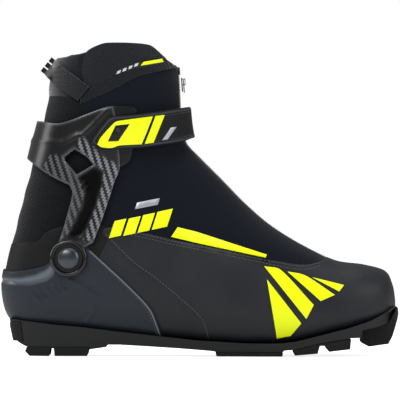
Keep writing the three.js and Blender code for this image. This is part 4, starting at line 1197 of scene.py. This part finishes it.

# Strap across the instep, anchored to the cuff; its front half peels off in use, but it is built lying flat
# here
strap = {"out": 7.2, "thick": 1.9, "step": 1.8, "rim": 0.8}
strapLine = [(-79.2, 156.4), (-76.8, 160.6), (-67.8, 172.4), (-65, 175), (-54.7, 176.2), (-36.3, 178.5),
             (-8.8, 183.1), (-8.1, 172), (-6.8, 160), (-9.9, 157.8), (-30.5, 154.9), (-43.7, 153),
             (-61.4, 151.7), (-71.7, 151.7)]


# Strap pieces: the object transform is baked into the mesh
def bendWithStrap(obj):
    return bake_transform(obj)


strapObj = patch("strap", regionLoop("lateral", strapLine), **strap)
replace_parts(bendWithStrap(finish(strapObj, "strap")), "strap_band", "strap_anchor")


# A smaller copy of a closed outline, drawn in by a distance
def shrunk(line, by):
    pts = np.array(line, float)
    area = 0.5 * np.sum(pts[:, 0] * np.roll(pts[:, 1], -1) - np.roll(pts[:, 0], -1) * pts[:, 1])
    before = pts - np.roll(pts, 1, 0)
    after = np.roll(pts, -1, 0) - pts
    before /= np.linalg.norm(before, axis=1)[:, None] + 1e-9
    after /= np.linalg.norm(after, axis=1)[:, None] + 1e-9
    n = np.stack([-(before + after)[:, 1], (before + after)[:, 0]], 1)
    n /= np.linalg.norm(n, axis=1)[:, None] + 1e-9
    spread = 1 / np.clip((n * np.stack([-after[:, 1], after[:, 0]], 1)).sum(1), 0.5, 1)
    return [tuple(p) for p in pts + n * (by * math.copysign(1, area) * spread)[:, None]]


rimLine = shrunk(strapLine, 1.6)
rimTube = piping("strapRim", rimLine + rimLine[:1], "lateral", 7.1, 0.75, 0.6, 1.4)
bendWithStrap(finish(rimTube, "strapRim"))
threadLine = shrunk(strapLine, 3.4)
strapThread = stitches("strapThread", threadLine + threadLine[:1], "lateral", 7.15, 2.2, 1.5, 0.22, 40)
bendWithStrap(finish(strapThread, "greyThread"))

# Hook patch, plate, slot, stripe and mark on the strap
hook = {"out": 5.2, "thick": 0.9, "step": 2.2, "rim": 0.3}
plate = {"out": 8.3, "thick": 1.2, "step": 1.5, "rim": 0.5}
slotFloor = {"out": 7.5, "thick": 0.4, "step": 1.5, "rim": 0.2}
stripe = {"out": 7.5, "thick": 0.45, "step": 1.6, "rim": 0.25}
mark = {"out": 7.5, "thick": 0.45, "step": 1.4, "rim": 0.25}
hookLine = [(-38, 160), (-14, 163), (-14, 176), (-38, 172)]
hookObj = patch("hookPatch", regionLoop("lateral", hookLine), **hook)
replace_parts(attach(finish(hookObj, "hook"), "strap"), "hook_patch")

plateLine = [(-74.5, 155), (-72, 160), (-62.6, 170.6), (-60, 171.9), (-37.1, 175.6), (-44.6, 155.5),
             (-59.5, 154.5), (-65, 152.6), (-72, 153.2)]
slotLine = [(-61.8, 168.6), (-52.2, 169.9), (-60.2, 157.6), (-67.2, 157.2)]
slotFlat = tidyLoop(sideToFlat(smoothLine(slotLine, closed=True)))
plateObj = patch("strapPlate", regionLoop("lateral", plateLine), holes=[slotFlat], **plate)
bendWithStrap(finish(plateObj, "yellowPlate"))
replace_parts(plateObj, "strap_plate")
slotBase = patch("strapSlot", regionLoop("lateral", shrunk(slotLine, -0.6)), **slotFloor)
bendWithStrap(finish(slotBase, "gloss"))
stripeLine = [(-35.2, 175.9), (-29.4, 176.6), (-36.6, 156.6), (-42.4, 155.8)]
bendWithStrap(finish(patch("strapStripe", regionLoop("lateral", stripeLine), **stripe), "yellow"))
markLine = [(-31, 158.4), (-27.4, 158.9), (-21.8, 168), (-25.4, 167.6)]
bendWithStrap(finish(patch("strapMark", regionLoop("lateral", markLine), **mark), "silver"))
print("strap made")

# Printed shapes on the leather and the stretch cloth
printLayer = {"raised": 0.34, "skin": {"thick": 0.7, "step": 2.2, "rim": 0.12}}
prints = [
    ("printStripe", [(-20.6, 87.3), (-15.8, 94.3), (0.4, 90.1), (48.8, 74.1), (48.1, 72.3), (0.4, 82.4)],
     "yellow", "cover"),
]
barLean = 4.2
barBoxes = [(-66, 86.4, 8.6, 12.4), (-55.6, 88, 8.6, 12.6), (-45.2, 90.2, 8.6, 12.8),
(-34.8, 92.4, 11.2, 13)]
for i, (x, z, w, h) in enumerate(barBoxes):
    rise = w * 0.21
    bar = [(x, z), (x + w, z + rise), (x + w + barLean, z + rise + h), (x + barLean, z + h)]
    prints.append(("printBar" + str(i), bar, "yellow", "cover"))
prints.append(("printSmall", [(-47, 107.4), (-30.4, 110.6), (-29, 115.4), (-45.6, 112.2)], "silver",
"cover"))
chevrons = [
    [(47, 66.2), (59, 63.4), (83, 38), (77.6, 27.8)],
    [(64, 62.2), (77, 59.2), (98.4, 45.2), (88, 40.8)],
    [(82, 58.0), (105.2, 52.2), (101.6, 47.6)],
    [(49, 56.6), (74, 24.6), (66.4, 15.4), (56.4, 13.4)],
]
for i, line in enumerate(chevrons):
    prints.append(("printChevron" + str(i), line, "yellow", "vamp"))


def onCover(base, dist):
    return coverRelief(base, np.full(len(base), 20.0))


def onVamp(base, dist):
    return vampRelief(base, np.full(len(base), 20.0))


for name, line, kind, ground in prints:
    surface, level = (onVamp, vamp["out"]) if ground == "vamp" else (onCover, cover["out"])
    made = patch(name, regionLoop("lateral", line), out=level + printLayer["raised"], relief=surface,
                 **printLayer["skin"])
    bendWithShaft(finish(made, kind))
print("prints made")

# Padded lining and tongue, cushioned by a short inflation
padding = {"pressure": 4.0, "voxel": 2.0, "stiffness": 25, "quality": 5, "frames": 20, "limit": 0.0006}


def cushioned(node, body):
    source = nodes[node]
    mesh = source.data.copy()
    obj = bpy.data.objects.new("pad_" + node, mesh)
    bpy.context.scene.collection.objects.link(obj)
    mesh.materials.clear()
    remesh = obj.modifiers.new("even", "REMESH")
    remesh.mode = "VOXEL"
    remesh.voxel_size = padding["voxel"] * mm
    applyAll(obj)
    rest = meshPoints(obj.data)
    cloth = obj.modifiers.new("cloth", "CLOTH")
    cloth.settings.use_pressure = True
    cloth.settings.uniform_pressure_force = padding["pressure"]
    cloth.settings.effector_weights.gravity = 0
    cloth.settings.tension_stiffness = padding["stiffness"]
    cloth.settings.compression_stiffness = padding["stiffness"]
    cloth.settings.quality = padding["quality"]
    for number in range(1, padding["frames"] + 1):
        bpy.context.scene.frame_set(number)
    applyAll(obj)
    swollen = meshPoints(obj.data)
    move = swollen - rest
    far = np.linalg.norm(move, axis=1)
    move *= (np.minimum(far, padding["limit"]) / (far + 1e-9))[:, None]
    obj.data.vertices.foreach_set("co", (rest + move).astype(np.float32).ravel())
    bpy.context.scene.frame_set(1)
    applySubdivision(obj)
    obj.data.shade_smooth()
    finish(obj, "lining")
    if body == "both":
        bendWithShaft(obj)
    else:
        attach(obj, body)
    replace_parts(obj, node)
    return obj


def meshPoints(mesh):
    points = np.zeros(len(mesh.vertices) * 3, np.float32)
    mesh.vertices.foreach_get("co", points)
    return points.reshape(-1, 3).astype(float)


def applyAll(obj):
    graph = bpy.context.evaluated_depsgraph_get()
    made = bpy.data.meshes.new_from_object(obj.evaluated_get(graph))
    obj.modifiers.clear()
    obj.data = made


def applySubdivision(obj):
    level = obj.modifiers.new("smooth", "SUBSURF")
    level.levels = 1
    level.render_levels = 1
    applyAll(obj)


for node, body, fill in (("liner_foot", "boot", 0.6), ("liner_shaft", "cuff", 0.6),
("footbed", "boot", 0.5),
                         ("tongue_foot", "boot", 0.6), ("tongue_shin", "cuff", 0.6)):
    cushioned(node, body)
print("padding made")

# Small hard parts keep the CAD shape with softened edges
hardParts = {
    "pivot_rivet_lateral": ("chrome", 0.35, "boot"), "pivot_rivet_medial": ("chrome", 0.35, "boot"),
    "pivot_washer_lateral": ("washer", 0.3, "cuff"), "pivot_washer_medial": ("washer", 0.3, "cuff"),
    "pivot_nut_lateral": ("steel", 0.2, "boot"), "pivot_nut_medial": ("steel", 0.2, "boot"),
    "strap_rivet": ("chrome", 0.25, "cuff"), "zip_slider": ("chrome", 0.2, "zip_slider"),
    "zip_pull": ("chrome", 0.2, "zip_pull"), "zip_garage": ("elastic", 0.4, "cuff"),
    "lace_lock_body": ("gloss", 0.6, "cuff"), "lace_lock_button": ("washer", 0.4, "lace_lock_button"),
}
for node, (kind, width, body) in hardParts.items():
    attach(softened(node, kind, width), body)
for node in ("lace_loops_lateral", "lace_loops_medial"):
    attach(softened(node, "webbing", 0.2), "boot")
laceObj = softened("laces", "paleThread", 0.15)
laceObj.modifiers.clear()
bendWithShaft(laceObj)
print("hard parts made")

# Thick sheet from a grid of points: rows by columns, with some cells left out
def ribbon(name, grid, thick, skip=(), degrees=50):
    rows, columns = grid.shape[:2]
    across = np.gradient(grid, axis=1)
    along = np.gradient(grid, axis=0)
    normal = np.cross(along, across)
    normal /= np.linalg.norm(normal, axis=2)[:, :, None] + 1e-9
    top = (grid + normal * thick / 2).reshape(-1, 3)
    under = (grid - normal * thick / 2).reshape(-1, 3)
    count = rows * columns
    quads = []
    for i in range(rows - 1):
        for j in range(columns - 1):
            if (i, j) in skip:
                continue
            low = i * columns + j
            quads.append((low, low + 1, low + columns + 1, low + columns))
    directed = {(f[i], f[(i + 1) % 4]) for f in quads for i in range(4)}
    walls = [(b, a, a + count, b + count) for (a, b) in directed if (b, a) not in directed]
    faces = quads + [tuple(i + count for i in f[::-1]) for f in quads] + walls
    used = sorted({i for f in faces for i in f})
    place = {v: i for i, v in enumerate(used)}
    verts = np.vstack([top, under])[used]
    uv = np.stack([np.tile(np.arange(columns), rows) * 0.01, np.repeat(np.arange(rows), columns) * 0.01], 1)
    uv = np.vstack([uv, uv])[used]
    obj = newObject(name, verts * mm, [tuple(place[i] for i in f) for f in faces], uv, None, degrees)
    fixNormals(obj)
    return obj


# Pull tab: a webbing loop from both sides of the collar, pressed together behind it and cut in three
tabWidth = 13.0
tabWay = np.array([-0.78, 0.0, 0.626])
tabAcross = np.array([0.626, 0.0, 0.78])
tabStart = np.array([-84.5, 0.0, 191.5])
tabLength = 36.5
tabRows = 34
tabColumns = 15
tabSkip = {(i, j) for i in range(tabRows - 5, tabRows - 1) for j in (4, 9)}
for side, way in (("lateral", -1), ("medial", 1)):
    grid = np.zeros((tabRows, tabColumns, 3))
    for i in range(tabRows):
        travel = tabLength * i / (tabRows - 1)
        middle = tabStart + tabWay * travel
        share = float(smoothStep(0.7, 0.92, np.array(i / (tabRows - 1))))
        for j in range(tabColumns):
            spot = middle + tabAcross * ((j / (tabColumns - 1) - 0.5) * tabWidth)
            u, a = findOnLast(max(spot[0], -106), min(spot[2], 226))
            base = lastPoint(np.array([u]), np.array([a]))[0]
            raised = lifted(np.array([u]), np.array([a]), 1.5)[0]
            spot[0] += (raised - base)[0] * (1 - share)
            spot[1] = way * (abs(raised[1]) * (1 - share) + 0.62 * share)
            grid[i, j] = spot
    tabObj = ribbon("pullTab" + side.title(), grid, 1.1, tabSkip)
    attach(finish(tabObj, "webbing"), "cuff")
    if side == "lateral":
        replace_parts(tabObj, "pull_tab")
print("pull tab made")

# Padded back of the collar, seen under the pull tab
collarBack = {"out": -0.9, "thick": 0.9, "step": 2.0, "rim": 0.8}
backLine = [(-106, 217.4), (-101, 218.0), (-93, 219.4), (-84, 221.5), (-80, 200), (-84, 190), (-96, 189),
            (-112.4, 190)]


def backRelief(base, dist):
    return 0.9 * smoothStep(0, 7, dist)


backObj = patch("collarBack", regionLoop("back", backLine), relief=backRelief, **collarBack)
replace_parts(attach(finish(backObj, "lining"), "cuff"), "collar_tape")

# Woven label on the dome: a plain yellow field and pale bars
label = {"out": 0.5, "thick": 0.7, "step": 1.4, "rim": 0.2}
labelPatch = {"out": 0.75, "thick": 0.4, "step": 1.2, "rim": 0.12}
labelBarPatch = {"out": 0.75, "thick": 0.4, "step": 1.0, "rim": 0.1}
labelLine = [(-62.5, 204.8), (-60.6, 208.6), (-46, 213.4), (-27, 217.6), (-25.8, 214.6), (-45, 209.9)]
labelObj = patch("collarLabel", regionLoop("lateral", labelLine), **label)
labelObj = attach(finish(labelObj, "hook"), "cuff")
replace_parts(labelObj, "collar_label")
labelField = [(-43, 212.0), (-40.8, 214.8), (-27.6, 217.3), (-26.6, 215.0)]
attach(finish(patch("labelField", regionLoop("lateral", labelField), **labelPatch), "yellow"), "cuff")
for i, x in enumerate((-60.4, -56.2, -52, -47.8)):
    z = 205.6 + (x + 60.4) * 0.42
    bar = [(x, z), (x + 2.6, z + 1.05), (x + 3.4, z + 3.2), (x + 0.8, z + 2.4)]
    barObj = patch("labelBar" + str(i), regionLoop("lateral", bar), **labelBarPatch)
    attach(finish(barObj, "label"), "cuff")

# Zip: a tape down the front with moulded teeth on it
ridgeLine = [(98, 70.2), (90, 73.2), (78.2, 79.2), (65, 86.6), (51.7, 95.3), (38.5, 106.4), (29.7, 115.2),
             (20.9, 124.7), (12.1, 133.6), (3.3, 142.4), (-5.5, 151.2), (-9.4, 157), (-11.4, 170),
             (-13.6, 184), (-14.5, 196),
             (-15.2, 206), (-15.8, 212)]


def ridgePath(step, out):
    points = even(smoothLine(ridgeLine, corner=60), step)
    found = [findOnLast(x, z) for x, z in points]
    u = np.array([f[0] for f in found])
    a = np.full(len(u), math.pi)
    return lifted(u, a, out), lastNormal(u, a)


tapePath = ridgePath(1.5, -0.9)[0]
tapeHalf = 3.6
tapeGrid = np.stack([tapePath + np.array([0, w, 0]) for w in np.linspace(-tapeHalf, tapeHalf, 7)], 1)
bendWithShaft(finish(ribbon("zipTape", tapeGrid, 0.7), "elastic"))
toothPath, toothUps = ridgePath(1.15, 0.0)
toothFaces = [(0, 1, 3, 2), (4, 6, 7, 5), (0, 4, 5, 1), (2, 3, 7, 6), (0, 2, 6, 4), (1, 5, 7, 3)]
teeth = []
for i in range(1, len(toothPath) - 1):
    way = 1 if i % 2 else -1
    along = toothPath[i + 1] - toothPath[i - 1]
    along /= np.linalg.norm(along)
    up = toothUps[i]
    corners = []
    # Eight corners of one tooth, narrower at its top
    for rise in (-0.55, 0.15):
        for length in (-0.42, 0.42):
            for reach in (-0.35, 1.25):
                shrink = 0.8 if rise > 0 else 1.0
                sideways = np.array([0, way * reach * shrink, 0])
                corners.append(toothPath[i] + along * length * shrink + up * rise + sideways)
    teeth.append((corners, toothFaces))
teethObj = mergeParts("zipTeethRow", teeth)
bendWithShaft(finish(teethObj, "zipTeeth"))
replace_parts(teethObj, "zip_teeth_lateral", "zip_teeth_medial")
print("zip made")

# Studio: white floor and soft lamps
floorSize = 6.0
floorMesh = bpy.data.meshes.new("floor")
floorMesh.from_pydata([(-floorSize, -floorSize, 0), (floorSize, -floorSize, 0), (floorSize, floorSize, 0),
                       (-floorSize, floorSize, 0)], [], [(0, 1, 2, 3)])
floorObj = bpy.data.objects.new("floor", floorMesh)
bpy.context.scene.collection.objects.link(floorObj)
floorObj.location.z = -0.0006
floorObj.data.materials.append(materials["floor"])

world = bpy.data.worlds.new("studio")
bpy.context.scene.world = world
world.use_nodes = True
worldTree = world.node_tree
soft = worldTree.nodes["Background"]
soft.inputs[0].default_value = (1, 1, 1, 1)
soft.inputs[1].default_value = 0.24
backdrop = worldTree.nodes.new("ShaderNodeBackground")
backdrop.inputs[0].default_value = (1, 1, 1, 1)
backdrop.inputs[1].default_value = 1.0
rays = worldTree.nodes.new("ShaderNodeLightPath")
chooser = worldTree.nodes.new("ShaderNodeMixShader")
worldTree.links.new(rays.outputs["Is Camera Ray"], chooser.inputs[0])
worldTree.links.new(soft.outputs[0], chooser.inputs[1])
worldTree.links.new(backdrop.outputs[0], chooser.inputs[2])
worldTree.links.new(chooser.outputs[0], worldTree.nodes["World Output"].inputs[0])


def lamp(name, place, target, power, size):
    data = bpy.data.lights.new(name, "AREA")
    data.energy = power
    data.shape = "RECTANGLE"
    data.size = size[0]
    data.size_y = size[1]
    obj = bpy.data.objects.new(name, data)
    bpy.context.scene.collection.objects.link(obj)
    obj.location = place
    obj.rotation_euler = (Vector(target) - Vector(place)).to_track_quat("-Z", "Y").to_euler()
    return obj


aim = (0, 0, 0.1)
lamp("keyLamp", (-0.35, -0.8, 0.75), aim, 4.2, (0.6, 0.4))
lamp("topLamp", (0.1, 0.05, 0.9), aim, 3.6, (0.9, 0.7))
lamp("frontLamp", (0.85, -0.35, 0.45), aim, 3.0, (0.4, 0.6))
lamp("bandLamp", (-0.5, -0.75, 0.9), (-0.1, 0, 0.17), 3.0, (0.12, 0.5))
lamp("backLamp", (-0.85, 0.1, 0.5), aim, 3.0, (0.3, 0.7))

camera = bpy.data.cameras.new("camera")
camera.lens = 400
camera.sensor_width = 36
cameraObj = bpy.data.objects.new("camera", camera)
bpy.context.scene.collection.objects.link(cameraObj)
view = {"centre": (0.0004, 0.0, 0.1142), "distance": 3.275}
cameraObj.location = (view["centre"][0], -view["distance"], view["centre"][2])
cameraObj.rotation_euler = (math.pi / 2, 0, 0)
bpy.context.scene.camera = cameraObj
bpy.context.scene.view_settings.view_transform = "Standard"
